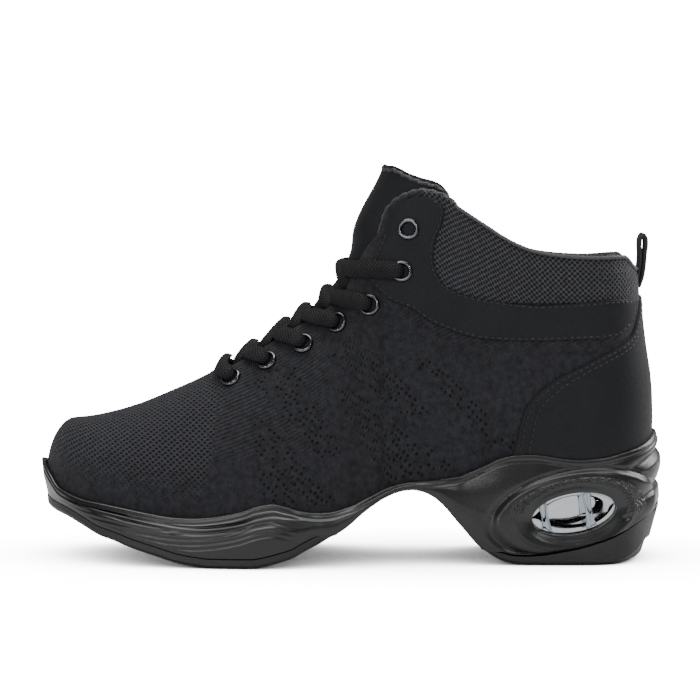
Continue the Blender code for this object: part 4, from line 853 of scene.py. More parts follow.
def stitchGroove(distance):  # a shallow groove under a row of stitches
    return overlay["groove"] * np.exp(-(distance / overlay["grooveWidth"]) ** 2)


def edgeThickness(distance):  # a quarter round at the edge, then the first groove
    quarter = np.sqrt(1 - (1 - np.clip(distance / overlay["edge"], 0, 1)) ** 2)
    return overlay["thickness"] * quarter - stitchGroove(distance - overlay["stitchIn"])


# a plate on the skin: outer sheet at the given thickness over the seat, inner sheet just under
# the knit's face
def buildPlate(name, turn, height, side, thickness, material, slotName, stands):
    base = lastPoint(turn, height, side)
    normal = skinNormal(base)
    outer = base + normal * (last["seat"] * 0.4 + np.maximum(thickness, 0) + 0.0002)[..., None]
    inner = base - normal * 0.0004
    uv = np.stack([arcLength(outer), arcLength(np.swapaxes(outer, 0, 1)).T], -1) * 100
    return makePlate(name, outer, inner, material, uv, slotName, stands)


def seamAlong(turn, height, side):  # a row of stitches over the overlay
    base = lastPoint(turn, height, side)
    normal = skinNormal(base)
    return stitchPoints(base + normal * overlay["stitchOut"], normal, seam)


def buildBands():
    size = np.array([last["length"], last["collar"], last["length"], last["collar"]])
    rows = throughPoints(bandTable * size, 260)
    margin = np.array([0, 0.006, 0.015, 0.03, 0.05])
    share = np.concatenate([margin, np.linspace(0.08, 0.92, 26), 1 - margin[::-1]])
    low, high = rows[:, None, :2], rows[:, None, 2:]
    grid = low + (high - low) * share[None, :, None]
    width = np.linalg.norm(high - low, axis=-1)
    fromEdge = np.minimum(share, 1 - share)[None] * width
    fromEnd = arcLength(grid.mean(1))[:, None]
    distance = np.minimum(fromEdge, fromEnd + 0.0004)
    threads = []
    for side, word in ((outerSide, "outer"), (innerSide, "inner")):
        station, height = grid[..., 0] / last["length"], grid[..., 1]
        turn = turnAt(station, height)
        name, thickness = f"collarBand{word.title()}", edgeThickness(distance)
        buildPlate(name, turn, height, side, thickness, nubuck, "nubuck", [f"collar_band_{word}"])
        for edge in (0, 1):
            inward = np.clip(overlay["stitchIn"] / width[:, 0], 0, 0.5)
            place = inward if edge == 0 else 1 - inward
            path = rows[:, :2] + (rows[:, 2:] - rows[:, :2]) * place[:, None]
            keep = slice(12, None) if edge else slice(40, None)
            path = path[keep]
            threads.append(seamAlong(turnAt(path[:, 0] / last["length"], path[:, 1]), path[:, 1], side))
    return threads


def buildCounter():
    share = counterTable[:, 1] * last["collar"]
    place = counterTable[:, 0]
    turn = np.where(place > 1, place, turnAt(np.minimum(place, 1), share))
    arc = 0.115  # metres along the skin for one unit of turn, near enough at the heel
    backArc = 0.050
    along = np.where(turn <= 1, turn * arc, arc + (turn - 1) * backArc)
    front = throughPoints(np.stack([along, share], 1), 170)
    oneTurn = np.where(front[:, 0] <= arc, front[:, 0] / arc, 1 + (front[:, 0] - arc) / backArc)
    oneTurn[-1] = 2
    turns = np.concatenate([oneTurn, oneTurn[-2::-1]])
    tops = np.concatenate([front[:, 1], front[-2::-1, 1]])
    sides = np.concatenate([np.full(len(front), outerSide), np.full(len(front) - 1, innerSide)])
    low = lipHeight(floorStation(turns, sides)) - 0.0004
    tops = np.maximum(tops, low + 0.001)
    levels = np.unique(np.concatenate([np.linspace(0, 0.9, 34), [0.94, 0.965, 0.982, 0.993, 1]]))
    height = low[:, None] + (tops - low)[:, None] * levels[None]
    s = np.concatenate([front[:, 0], front[-2::-1, 0]])
    distance = lineDistance(np.broadcast_to(s[:, None], height.shape), height, front.tolist())
    secondRow = overlay["stitchIn"] + overlay["stitchApart"]
    thickness = edgeThickness(distance) - stitchGroove(distance - secondRow)
    turnGrid = np.broadcast_to(turns[:, None], height.shape)
    buildPlate("heelCounter", turnGrid, height, sides[:, None], thickness, nubuck, "nubuck", ["heel_counter"])
    threads = []
    tangent = unit(np.gradient(front, axis=0))
    inward = np.stack([tangent[:, 1], -tangent[:, 0]], 1)
    for step in (0, 1):
        path = front + inward * (overlay["stitchIn"] + step * overlay["stitchApart"])
        overLip = path[:, 1] > lipHeight(np.minimum(path[:, 0] / arc, 1) * heelStation) + 0.001
        path = path[overLip & (path[:, 0] < arc + backArc)]
        turnPath = np.where(path[:, 0] <= arc, path[:, 0] / arc, 1 + (path[:, 0] - arc) / backArc)
        for side in (outerSide, innerSide):
            threads.append(seamAlong(np.minimum(turnPath, 2), path[:, 1], side))
    return threads


threadParts = buildBands() + buildCounter()
makePiece("seamStitches", *joinParts(threadParts), thread, slotName="nubuck")
print("overlays and seams made")

# eyelets: black nickel rings rolled over the wall, with their barrels
eyelet = {"radius": 0.0045, "bore": 0.0028, "rise": 0.0012, "seat": 0.0003, "segments": 48, "onBand": 2}
eyeletTable = np.array([
    (0.3112, 0.7018), (0.3695, 0.7686), (0.4289, 0.8355), (0.4852, 0.9164), (0.5377, 0.9873),
    (0.5905, 1.1145), (0.6018, 1.2736),
])


def eyeletFrame(number, side):
    station, share = eyeletTable[number]
    point = lastPoint(station / heelStation, last["instep"] * share, side)
    return point, skinNormal(point)


def eyeletSeat(number):
    onBand = number >= len(eyeletTable) - eyelet["onBand"]
    return eyelet["seat"] + (last["seat"] + overlay["thickness"] if onBand else 0)


# a half ellipse for the roll, carried on down as skirt outside and barrel inside, turned about its axis
def buildEyelets():
    middle, half = (eyelet["radius"] + eyelet["bore"]) / 2, (eyelet["radius"] - eyelet["bore"]) / 2
    angle = np.linspace(math.pi, 0, 15)
    roll = np.stack([middle + half * np.cos(angle), eyelet["rise"] * np.sin(angle) ** 0.8], 1)
    for side, word in ((outerSide, "outer"), (innerSide, "inner")):
        for number in range(len(eyeletTable)):
            centre, normal = eyeletFrame(number, side)
            seat = eyeletSeat(number)
            down = -seat if number < len(eyeletTable) - eyelet["onBand"] else -0.0008
            profile = np.concatenate([
                [(eyelet["bore"], -0.0034 - seat)], [(eyelet["bore"], -0.0012)], roll,
                [(eyelet["radius"], down - 0.0003)], [(eyelet["bore"] + 0.0006, down - 0.0003)],
                [(eyelet["bore"] + 0.0006, -0.0034 - seat)],
            ])
            level = unit(np.cross(normal, [0, 0, 1.0]))
            upward = np.cross(level, normal)
            turn = np.linspace(0, 2 * math.pi, eyelet["segments"], endpoint=False)
            ring = np.cos(turn)[:, None] * level + np.sin(turn)[:, None] * upward
            points = centre + normal * seat + profile[None, :, :1] * ring[:, None]
            points = points + profile[None, :, 1:] * normal
            faces = gridFaces(eyelet["segments"], len(profile), closedColumns=True, closedRows=True)
            name, stands = f"eyelet{word.title()}{number + 1}", [f"eyelet_{word}_{number + 1}"]
            makePiece(name, points, faces, blackNickel, None, None, "eyelet_metal", stands, 50)


buildEyelets()
print("eyelets made")

# lace: one flat woven lace, up through the eyelets and across; the far strand lies on top
laceSize = {"width": 0.0074, "thickness": 0.0018, "points": 70, "depth": 0.0045}
# how far the ribbon's edges fall where it crosses the middle, and how wide that stretch is
droops = {"bar": 0.0016, "strands": (0.0004, 0.0014), "reach": 0.009}
crossings = [0.760, 0.822, 0.909, 0.9655, 1.034, 1.125]
# where a strand comes out from under the far edge, below its eyelet: height, distance from the middle
dives = [None, (0.0850, 0.0085), (0.0915, 0.0090), (0.1000, 0.0098), (0.1090, 0.0115), (0.1180, 0.0135)]
# lift of the near and the far strand over the skin where they cross
lifts = [None, (-0.0006, 0.0012), (-0.0006, 0.0012), (-0.0006, 0.0012), (-0.0004, 0.0014), (0.0010, 0.0027)]


# on the front of the skin at a height and a distance from the middle, by bisection
def throatPoint(height, half, side, out):
    near, far = last["toeX"] + 0.02, heelX
    for _ in range(40):
        x = (near + far) / 2
        y = centreLine((x - last["toeX"]) / last["length"]) + side * half
        if skinLevel(np.array([x, y, height])) > 0:
            near = x
        else:
            far = x
    point = np.array([x, float(y), height])
    normal = skinNormal(point)
    return point + normal * out, normal


# a crowned flat profile along the keys, each key being a place and an up direction; up and width
# are scaled down and follow the same curve
def ribbon(keys, widths, droop=0.0):
    asUp, asWidth = 0.004, 0.01
    keyed = [[*place, *(np.asarray(up) * asUp), width * asWidth] for (place, up), width in zip(keys, widths)]
    path = throughPoints(keyed, laceSize["points"])
    up = unit(path[:, 3:6])
    scale = path[:, 6] / asWidth
    angle = np.linspace(0, 2 * math.pi, 22, endpoint=False)
    across = np.sign(np.cos(angle)) * np.abs(np.cos(angle)) ** 0.9 * laceSize["width"] / 2
    rise = np.sign(np.sin(angle)) * np.abs(np.sin(angle)) ** 0.95 * laceSize["thickness"] / 2
    rise = rise * (1 + 0.10 * np.cos(angle * 4))
    rings = sweep(path[:, :3], up, np.stack([across, rise], 1), scale, np.clip(1.25 - 0.25 * scale, 0.9, 1.4))
    middle = centreLine((path[:, 0] - last["toeX"]) / last["length"])
    fall = droop * np.exp(-((path[:, 1] - middle) / droops["reach"]) ** 2)
    rings = rings - up[:, None] * (fall[:, None] * (across / across.max()) ** 2)[..., None]
    length = arcLength(path[:, :3])
    around = arcLength(np.concatenate([rings[len(rings) // 2], rings[len(rings) // 2][:1]]))[:-1]
    uv = np.stack(np.broadcast_arrays(length[:, None], around[None]), -1) * 100
    return rings.reshape(-1, 3), tubeFaces(len(rings), 22), uv.reshape(-1, 2)


def strandKeys(number, side, lift):  # from inside the shoe out through an eyelet and on to the crossing
    centre, normal = eyeletFrame(number, side)
    crossing = last["instep"] * crossings[number]
    seat = eyeletSeat(number) + eyelet["rise"]
    half = abs(centre[1] - float(centreLine(eyeletTable[number, 0])))
    rise = crossing - centre[2]
    second, upSecond = throatPoint(centre[2] + rise * 0.36, half * 0.62, side, max(0.0016, lift))
    toward = second - centre
    toward = unit(toward - normal * np.dot(toward, normal))
    band = seat - eyelet["rise"] - eyelet["seat"]
    keys = [
        (centre - normal * laceSize["depth"] - toward * 0.0004, -toward),
        (centre - normal * 0.0010 - toward * 0.0002, -toward),
        (centre + normal * (seat - 0.0003) + toward * 0.0002, (normal * 0.5 - toward)),
        (centre + normal * (seat + 0.0013) + toward * 0.0028, normal),
        (centre + normal * (band + 0.0021) + toward * 0.0062, normal),
        (second, upSecond),
    ]
    widths = [0.55, 0.6, 0.68, 0.95, 1.0, 1.0]
    keys.append(throatPoint(centre[2] + rise * 0.70, half * 0.30, side, lift))
    widths.append(1.0)
    return keys, widths


def buildLaces():
    for number in range(len(crossings)):
        crossing = last["instep"] * crossings[number]
        parts = []
        if number == 0:
            near, nearWide = strandKeys(0, outerSide, 0.0021)
            far, farWide = strandKeys(0, innerSide, 0.0021)
            middle = throatPoint(crossing, 0.0, 1, 0.0022)
            widths = nearWide[:-1] + [0.85, 0.72, 0.85] + farWide[-2::-1]
            parts.append(ribbon(near + [middle] + far[::-1], widths, droops["bar"]))
            stands = "lace_bar_1"
        else:
            height, half = dives[number]
            for side, lift, droop in zip((outerSide, innerSide), lifts[number], droops["strands"]):
                keys, widths = strandKeys(number, side, lift)
                keys.append(throatPoint(crossing, 0.0010, side, lift + 0.0002))
                midway = crossing + (height - crossing) * 0.55
                keys.append(throatPoint(midway, half * 0.55, -side, lift * 0.7))
                keys.append(throatPoint(height, half, -side, 0.0))
                keys.append(throatPoint(height - 0.0022, half + 0.0034, -side, -0.0032))
                centre, normal = eyeletFrame(number - 1, -side)
                keys.append((centre - normal * 0.0046, normal))
                parts.append(ribbon(keys, widths[:-1] + [0.92, 0.78, 0.82, 0.95, 0.9, 0.6], droop))
            if number == len(crossings) - 1:  # the two hidden ends lie inside, up to the top eyelets
                for side in (outerSide, innerSide):
                    (a, na), (b, nb) = eyeletFrame(number, side), eyeletFrame(number + 1, side)
                    run = [(a - na * 0.0042, na), ((a + b) / 2 - na * 0.0042, na), (b - nb * 0.0042, nb)]
                    parts.append(ribbon(run, [0.6, 0.9, 0.7]))
            stands = f"lace_cross_{number + 1}"
        points, faces = joinParts([(p, f) for p, f, _ in parts])
        uv = np.concatenate([u for _, _, u in parts])
        makePiece(f"lace{number + 1}", points, faces, lace, uv, None, "lace", [stands])


buildLaces()
print("laces made")


# tongue: a padded arch under the throat, wrapped round the front of the ankle
tongue = {"thickness": 0.0050, "height": 0.1665, "clear": 0.00265, "steps": 40, "pressed": 0.0012}
# station, and the heights of its side edge and of its top edge over the tongue's height
tongueTable = np.array([
    (0.2700, 0.440, 0.440), (0.3000, 0.440, 0.600), (0.3500, 0.470, 0.700), (0.4000, 0.510, 0.800),
    (0.4500, 0.560, 0.900), (0.5000, 0.630, 1.100), (0.5300, 0.690, 1.100), (0.5560, 0.740, 1.005),
    (0.5700, 0.765, 1.004), (0.5900, 0.800, 0.990), (0.6200, 0.845, 0.972), (0.6500, 0.880, 0.958),
    (0.6620, 0.896, 0.942), (0.6700, 0.906, 0.915),
])


# outer and inner sheet at each station, from the side edge to the ridge or the top edge
def tongueSection(station, side, steps):
    station = station[:, None]
    bed, ridge = bedHeight(station), ridgeHeight(station)
    edge = tongue["height"] * smooth(tongueTable, 1, station)
    top = tongue["height"] * smooth(tongueTable, 2, station)
    closed = (top >= ridge) | (station < 0.550)
    edge = np.where(station < 0.29, ridge - (ridge - edge) * ease((station - 0.262) / 0.03), edge)
    start = angleAt(station, np.minimum(edge, ridge - 0.0005))
    end = np.where(closed, math.pi / 2, angleAt(station, top))
    j = np.linspace(0, 1, steps + 1)[None]
    angle = start + (end - start) * j
    height = bed + (ridge - bed) * np.sin(angle) ** (2 / smooth(planTable, 5, station))
    point = lastPoint(station / heelStation, height, side)
    normal = skinNormal(point)
    taper = np.minimum(1, (j * 5 + 0.6) / 2.2)
    tip = np.minimum(1, 0.35 + (station - 0.27) / 0.03) * np.minimum(1, 0.4 + (0.670 - station) / 0.03)
    pressed = tongue["pressed"] * ease((0.110 - height) / 0.006) * ease((height - 0.080) / 0.01)
    forward = ease((angle / (math.pi / 2) - 0.55) / 0.35)  # it swells at the front, over the top eyelets
    swell = 0.0022 * ease((height - 0.104) / 0.008) + 0.0016 * ease((height - 0.130) / 0.010)
    swell = swell * ease((0.166 - height) / 0.026) * forward
    outer = point - normal * (tongue["clear"] + pressed - swell)[..., None]
    inner = point - normal * (tongue["clear"] + tongue["thickness"] * taper * tip + pressed * 0.5)[..., None]
    return outer, inner, closed[:, 0]


def buildTongue():
    even = np.linspace(0.27, 0.5555, 600)
    ridge = np.stack([stationX(even), ridgeHeight(even)], 1)
    length = arcLength(ridge)
    front = np.interp(np.linspace(0, length[-1], 104), length, even)
    stations = np.concatenate([front, np.linspace(0.5555, 0.670, 34)[1:]])
    points, faces, uvs, start = [], [], [], 0
    for side in (outerSide, innerSide):
        outer, inner, closed = tongueSection(stations, side, tongue["steps"])
        rows, columns = outer.shape[:2]
        layer = rows * columns
        points.append(np.stack([outer, inner]).reshape(-1, 3))
        down = arcLength(np.swapaxes(outer, 0, 1)[::-1])[::-1].T * side
        along = np.broadcast_to(arcLength(outer[:, -1])[:, None], down.shape)
        uvs.append(np.concatenate([np.stack([along, down], -1).reshape(-1, 2)] * 2) * 100)
        faces += gridFaces(rows, columns, start=start)
        faces += gridFaces(rows, columns, start=start + layer, flip=True)
        index = np.arange(layer).reshape(rows, columns) + start
        strips = [(index[:-1, 0], index[1:, 0]), (index[0, :-1], index[0, 1:]), (index[-1, :-1], index[-1, 1:])]
        opened = ~(closed[:-1] & closed[1:])
        strips.append((index[:-1, -1][opened], index[1:, -1][opened]))
        for a, b in strips:
            faces += np.stack([a, b, b + layer, a + layer], -1).tolist()
        start += 2 * layer
    points, uvs = np.concatenate(points), np.concatenate(uvs)
    piece = makePiece("tongue", points, faces, nubuck, uvs, None, "nubuck", ["tongue"])


buildTongue()
print("tongue made")

# twisted piping on the tab and the tongue, and the thin binding of the collar
tabStations = [0.549, 0.553, 0.5575, 0.562, 0.569, 0.578, 0.590, 0.606, 0.622, 0.638, 0.654, 0.668, 0.680]
rope = {"radius": 0.00110, "pitch": 0.0042, "twist": 0.18, "belowTop": 0.0017}
binding = {"radius": 0.00085, "below": 0.0010}


def twistedRope(name, path, up):  # a round section whose radius has two crowns, turned along the way
    radius = rope["radius"]
    length = arcLength(path)
    angle = np.linspace(0, 2 * math.pi, 16, endpoint=False)
    phase = 2 * angle[None] - 2 * math.pi * length[:, None] / rope["pitch"]
    reach = radius * (1 - rope["twist"] + rope["twist"] * np.cos(phase))
    ends = np.minimum(1, np.minimum(length, length[-1] - length) / radius * 0.7 + 0.3)[:, None]
    profile = np.stack([reach * np.cos(angle), reach * np.sin(angle)], -1) * ends[..., None]
    rings = sweep(path, up, profile)
    uv = np.stack(np.broadcast_arrays(length[:, None], angle[None] * radius), -1) * 100
    makePiece(name, rings, tubeFaces(len(rings), 16), cordPiping, uv, None, "lace")


def rimPath(stations, side, raise_, count):  # along the upper's top edge
    turn = np.asarray(stations) / heelStation
    height = topHeight(turn, np.full(len(turn), side))
    base = lastPoint(turn, height, side)
    normal = skinNormal(base)
    wall = last["wall"] + last["pad"] * padShare(np.asarray(stations), height)
    place = base - normal * (np.minimum(wall, 0.003) * 0.5)[:, None]
    place[:, 2] += raise_
    both = throughPoints(np.concatenate([place, normal * 0.01], 1), count)
    return both[:, :3], unit(both[:, 3:])


def buildPiping():
    for side, word in ((outerSide, "Outer"), (innerSide, "Inner")):
        twistedRope(f"tabPiping{word}", *rimPath(tabStations, side, 0.0001, 260))
    stations = np.linspace(0.668, 0.5515, 30)
    halves = []
    for side in (outerSide, innerSide):
        outer, inner, _ = tongueSection(stations, side, 6)
        middle = outer[:, -1].copy()  # on the face, with the lining's edge standing above it
        middle[:, 2] -= rope["belowTop"]
        halves.append(np.concatenate([middle, unit(outer[:, -1] - inner[:, -1]) * 0.01], 1))
    both = throughPoints(np.concatenate([halves[0], halves[1][::-1]]), 420)
    twistedRope("tonguePiping", both[:, :3], unit(both[:, 3:]))
    stations = np.linspace(0.676, heelStation * 0.999, 40) / heelStation
    turns = np.concatenate([stations, np.linspace(1.02, 2, 34)])
    full = np.concatenate([turns, turns[-2::-1]])
    sides = np.concatenate([np.full(len(turns), outerSide), np.full(len(turns) - 1, innerSide)])
    height = topHeight(full, sides) - binding["below"]
    place = skinPoint(full, height, sides, np.full(len(full), 0.00005))
    normal = skinNormal(lastPoint(full, height, sides))
    both = throughPoints(np.concatenate([place, normal * 0.01], 1), 520)
    length = arcLength(both[:, :3])
    angle = np.linspace(0, 2 * math.pi, 12, endpoint=False)
    fat = 1 + 0.05 * np.cos(length / 0.0021 * 2 * math.pi)
    profile = np.stack([np.cos(angle), np.sin(angle)], -1)[None] * (binding["radius"] * fat)[:, None, None]
    rings = sweep(both[:, :3], both[:, 3:], profile)
    uv = np.stack(np.broadcast_arrays(length[:, None], angle[None] * binding["radius"]), -1) * 100
    makePiece("collarBinding", rings, tubeFaces(len(rings), 12), cordPiping, uv, None, "lace")


buildPiping()
print("piping made")

# collar: a net of spacer mesh over the foam, from the band up over the rim and down inside
collar = {"spacing": 0.0010, "proud": 0.00025, "sunk": 0.0006, "low": 0.846, "inside": 0.020, "start": 0.626}


def buildCollar():
    stations = np.arange(collar["start"], heelStation, collar["spacing"] / last["length"])
    turns = np.concatenate([stations / heelStation, 1 + np.linspace(0, 1, 100)])
    full = np.concatenate([turns, turns[-2::-1]])
    sides = np.concatenate([np.full(len(turns), outerSide), np.full(len(turns) - 1, innerSide)])
    station = heelStation * np.minimum(full, 1)
    crest = topHeight(full, sides)
    wall = last["wall"] + last["pad"] * padShare(station, crest)
    low = np.full_like(crest, last["collar"] * collar["low"])
    top = crest - 0.5 * wall
    count = 46
    share = np.linspace(0, 1, count)[None]
    height = low[:, None] + (top - low)[:, None] * share
    outer = lastPoint(full[:, None], height, sides[:, None])
    normal = skinNormal(outer)
    innerHeight = top[:, None] - collar["inside"] * np.linspace(0, 1, 36)[None]
    base = lastPoint(full[:, None], innerHeight, sides[:, None])
    innerNormal = skinNormal(base)
    innerWall = last["wall"] + last["pad"] * padShare(station[:, None], innerHeight)
    inner = base - innerNormal * innerWall[..., None]
    up = unit(outer[:, -1] - outer[:, -2])
    middle, half = (outer[:, -1] + inner[:, 0]) / 2, (outer[:, -1] - inner[:, 0]) / 2
    rims, rimNormals = [], []
    for angle in np.linspace(0, math.pi, 15)[1:-1]:
        rims.append(middle + half * math.cos(angle) + up * (0.5 * wall)[:, None] * math.sin(angle))
        rimNormals.append(normal[:, -1] * math.cos(angle) + up * math.sin(angle))
    face = np.concatenate([outer, np.stack(rims, 1), inner], 1)
    out = unit(np.concatenate([normal, np.stack(rimNormals, 1), -innerNormal], 1))
    down = arcLength(np.swapaxes(face, 0, 1)).T
    down = down - down[:, count - 1:count]
    along = arcLength(face[:, count - 1])[:, None]
    uv = np.stack([np.broadcast_to(along, down.shape), down], -1) * 100
    front, back = face + out * collar["proud"], face - out * collar["sunk"]
    makePlate("collarMesh", front, back, spacerMesh, uv, "lining")


buildCollar()
print("collar made")

# pull loop: a folded grosgrain ribbon at the back seam
loop = {
    "width": 0.0110, "ply": 0.0021, "rib": 0.0009,
    # along and up, from the outer foot over the top to the inner foot
    "path": [
        (0.1226, 0.1150), (0.1241, 0.1195), (0.1249, 0.1245), (0.1253, 0.1295), (0.1257, 0.1330),
        (0.1255, 0.1358), (0.1244, 0.1373), (0.1233, 0.1358), (0.1230, 0.1330), (0.1232, 0.1295),
        (0.1229, 0.1245), (0.1221, 0.1195), (0.1207, 0.1150),
    ],
}


def buildPullLoop():
    path = throughPoints([(x, 0, z) for x, z in loop["path"]], 330)
    length = arcLength(path)
    angle = np.linspace(0, 2 * math.pi, 20, endpoint=False)
    across = np.sign(np.cos(angle)) * np.abs(np.cos(angle)) ** 0.35 * loop["width"] / 2
    rise = np.sign(np.sin(angle)) * np.abs(np.sin(angle)) ** 0.5 * loop["ply"] / 2 * 0.9
    ribs = 1 + 0.10 * np.cos(length / loop["rib"] * 2 * math.pi)
    up = np.cross(np.gradient(path, axis=0), [0, 1.0, 0])
    rings = sweep(path, up, np.stack([across, rise], 1), 1.0, ribs)
    uv = np.stack(np.broadcast_arrays(length[:, None], across[None]), -1) * 100
    makePiece("pullLoop", rings, tubeFaces(len(rings), 20), webbing, uv, None, "lace", ["pull_loop"])


buildPullLoop()

# sock liner
liner = {"thickness": 0.0032, "inset": 0.0031, "cup": 0.0008, "edgeFall": 0.0012}


def buildInsole():
    turns = turnsAlong(0.003, 16, first=0.014)
    share = np.linspace(-1, 1, 33)
    foot = {}
    for side in (outerSide, innerSide):
        bed = bedHeight(floorStation(turns, side))
        place = lastPoint(turns, bed, side)
        normal = skinNormal(place + np.array([0, 0, 1e-5]))
        normal[:, 2] = 0
        foot[side] = place - unit(normal) * liner["inset"]
        foot[side][:, 0] = np.maximum(foot[side][:, 0], last["toeX"] + liner["inset"] + 0.0008)
    a, b = foot[outerSide][:, None], foot[innerSide][:, None]
    mix = ((share + 1) / 2)[None, :, None]
    low = a + (b - a) * mix
    low[..., 2] += last["gap"]
    high = low.copy()
    edgeFall = liner["edgeFall"] * np.abs(share)[None] ** 12
    high[..., 2] += liner["thickness"] - edgeFall - liner["cup"] * (1 - share[None] ** 2)
    makePlate("sockLiner", high, low, lining, high[..., :2] * 100, "lining", ["insole"])


buildInsole()
print("loop and liner made")


# sole: moulded cup with its lip, ribbed side, heel pod and window, then treads and air cell
sole = {
    "flange": 0.0055, "lipThickness": 0.0023, "foreTread": 0.0040, "heelTread": 0.0035, "heelRise": 0.0155,
    "foreEnd": 0.4850, "heelStart": 0.7160, "fadeOut": 0.040, "spacing": 0.0011, "fan": 46, "rows": 84,
    "podLength": 0.0680, "podHeight": 0.0330, "podRaise": 0.0016, "podTilt": math.radians(10),
    "cellLength": 0.0352, "cellHeight": 0.0168, "cellRecess": 0.0035, "cellFromBack": 0.0335,
    "cellHigh": 0.0218, "pillars": (-0.0118, 0.0064), "pillarRadius": 0.0014, "groovePitch": 0.052,
}
# depth down the side; how far it stands out at toe, side and back; grooves at the forefoot and at
# the heel's back
wallTable = np.array([
    (0.00, 0.38, 0.44, 0.52, 0.00, 0.00), (0.07, 0.42, 0.52, 0.66, 0.00, 0.00),
    (0.16, 0.41, 0.66, 0.74, 0.00, 0.10), (0.21, 0.39, 0.74, 0.70, 0.14, 0.24),
    (0.27, 0.37, 0.82, 0.80, 0.00, 0.10), (0.34, 0.34, 0.88, 0.94, 0.12, 0.00),
    (0.46, 0.28, 0.93, 1.02, 0.00, 0.00), (0.58, 0.20, 0.96, 0.98, 0.00, 0.12),
    (0.66, 0.15, 0.96, 0.92, 0.00, 0.22), (0.74, 0.10, 0.95, 0.98, 0.00, 0.04),
    (0.88, 0.03, 0.92, 1.02, 0.00, 0.00), (1.00, -0.03, 0.86, 0.90, 0.00, 0.00),
])
# station, and the share of the heel tread's climb up the back
treadRise = np.array([
    (0.770, 0.00), (0.8135, 0.04), (0.8446, 0.12), (0.8757, 0.22), (0.9068, 0.38), (0.9378, 0.57),
    (0.9728, 0.84), (1.000, 1.00),
])


def covered(station):  # 1 over the treads, 0 in the arch
    fore, heel = sole["foreEnd"] - station, station - sole["heelStart"]
    return np.maximum(ease(fore / sole["fadeOut"]), ease(heel / sole["fadeOut"]))


def treadHeight(station):
    heel = sole["heelTread"] + sole["heelRise"] * smooth(treadRise, 1, station)
    return np.where(station < 0.60, sole["foreTread"], heel) * covered(station)


def midsoleUnder(station):  # over the treads and bare in the arch, where their ends thin out to nothing
    return undersideHeight(station) + (treadHeight(station) + last["gap"]) * covered(station)


def outlineNormal(turn, side, height):  # square to the outline seen from above
    turn, side, height = np.broadcast_arrays(np.asarray(turn, float), side, height)
    step = np.clip(turn * 0.4, 1e-6, 0.004)
    before = lastPoint(np.maximum(turn - step, 0), height, side)
    passed = turn + step > 2
    after = lastPoint(np.where(passed, 4 - turn - step, turn + step), height, np.where(passed, -side, side))
    along = after - before
    normal = np.stack([along[..., 1], -along[..., 0], np.zeros_like(turn)], -1)
    normal = unit(normal * np.where(side < 0, 1, -1)[..., None])
    return np.where((turn == 0)[..., None], np.array([-1.0, 0, 0]), normal)


def wallOffset(depth, turn, station):
    toe = 1 - ease(station / 0.16)
    back = ease((turn - 1.15) / 0.6)
    arch = np.exp(-((station - 0.61) / 0.055) ** 2)
    middle = (1 - toe - back) * smooth(wallTable, 2, depth) * (1 - 0.35 * arch)
    out = toe * smooth(wallTable, 1, depth) + middle + back * smooth(wallTable, 3, depth)
    fore = ease((station - 0.03) / 0.06) * ease((0.44 - station) / 0.08)
    out = out - smooth(wallTable, 4, depth) * fore - smooth(wallTable, 5, depth) * ease((turn - 1.25) / 0.4)
    return np.maximum(out * sole["flange"], -0.004)


def podReach(x, z, length, height):  # 1 on the edge of an oval that is tilted with the cell
    alongX, upZ = x - (stationX(1) - sole["cellFromBack"]), z - sole["cellHigh"]
    along = alongX * math.cos(sole["podTilt"]) + upZ * math.sin(sole["podTilt"])
    up = upZ * math.cos(sole["podTilt"]) - alongX * math.sin(sole["podTilt"])
    return np.hypot(along / (length / 2), up / (height / 2))


# pod, rim round the window, fine ribs of the forefoot, and the notch
def sideRelief(x, z, station, below, tall):
    pod = podReach(x - 0.001, z - 0.0005, sole["podLength"], sole["podHeight"])
    rim = podReach(x, z, sole["cellLength"] + 0.0075, sole["cellHeight"] + 0.0075)
    out = sole["podRaise"] * ease((1.06 - pod) / 0.10)
    out = out - 0.0007 * np.exp(-((pod - 1.09) / 0.035) ** 2)
    out = out - 0.0022 * ease((1.06 - rim) / 0.30)
    out = out + 0.0005 * np.exp(-((rim - 1.16) / 0.05) ** 2)
    fore = ease((station - 0.02) / 0.04) * ease((0.43 - station) / 0.06)
    lines = 0.5 - 0.5 * np.cos(2 * math.pi * np.clip(below - 0.0032, 0, 0.0105) / 0.0021)
    out = out - 0.00035 * fore * lines * ease((tall - below - 0.001) / 0.002)
    dot = np.hypot(x - 0.1150, z - 0.0200)
    return out - 0.0007 * ease(1.3 - dot / 0.0012)


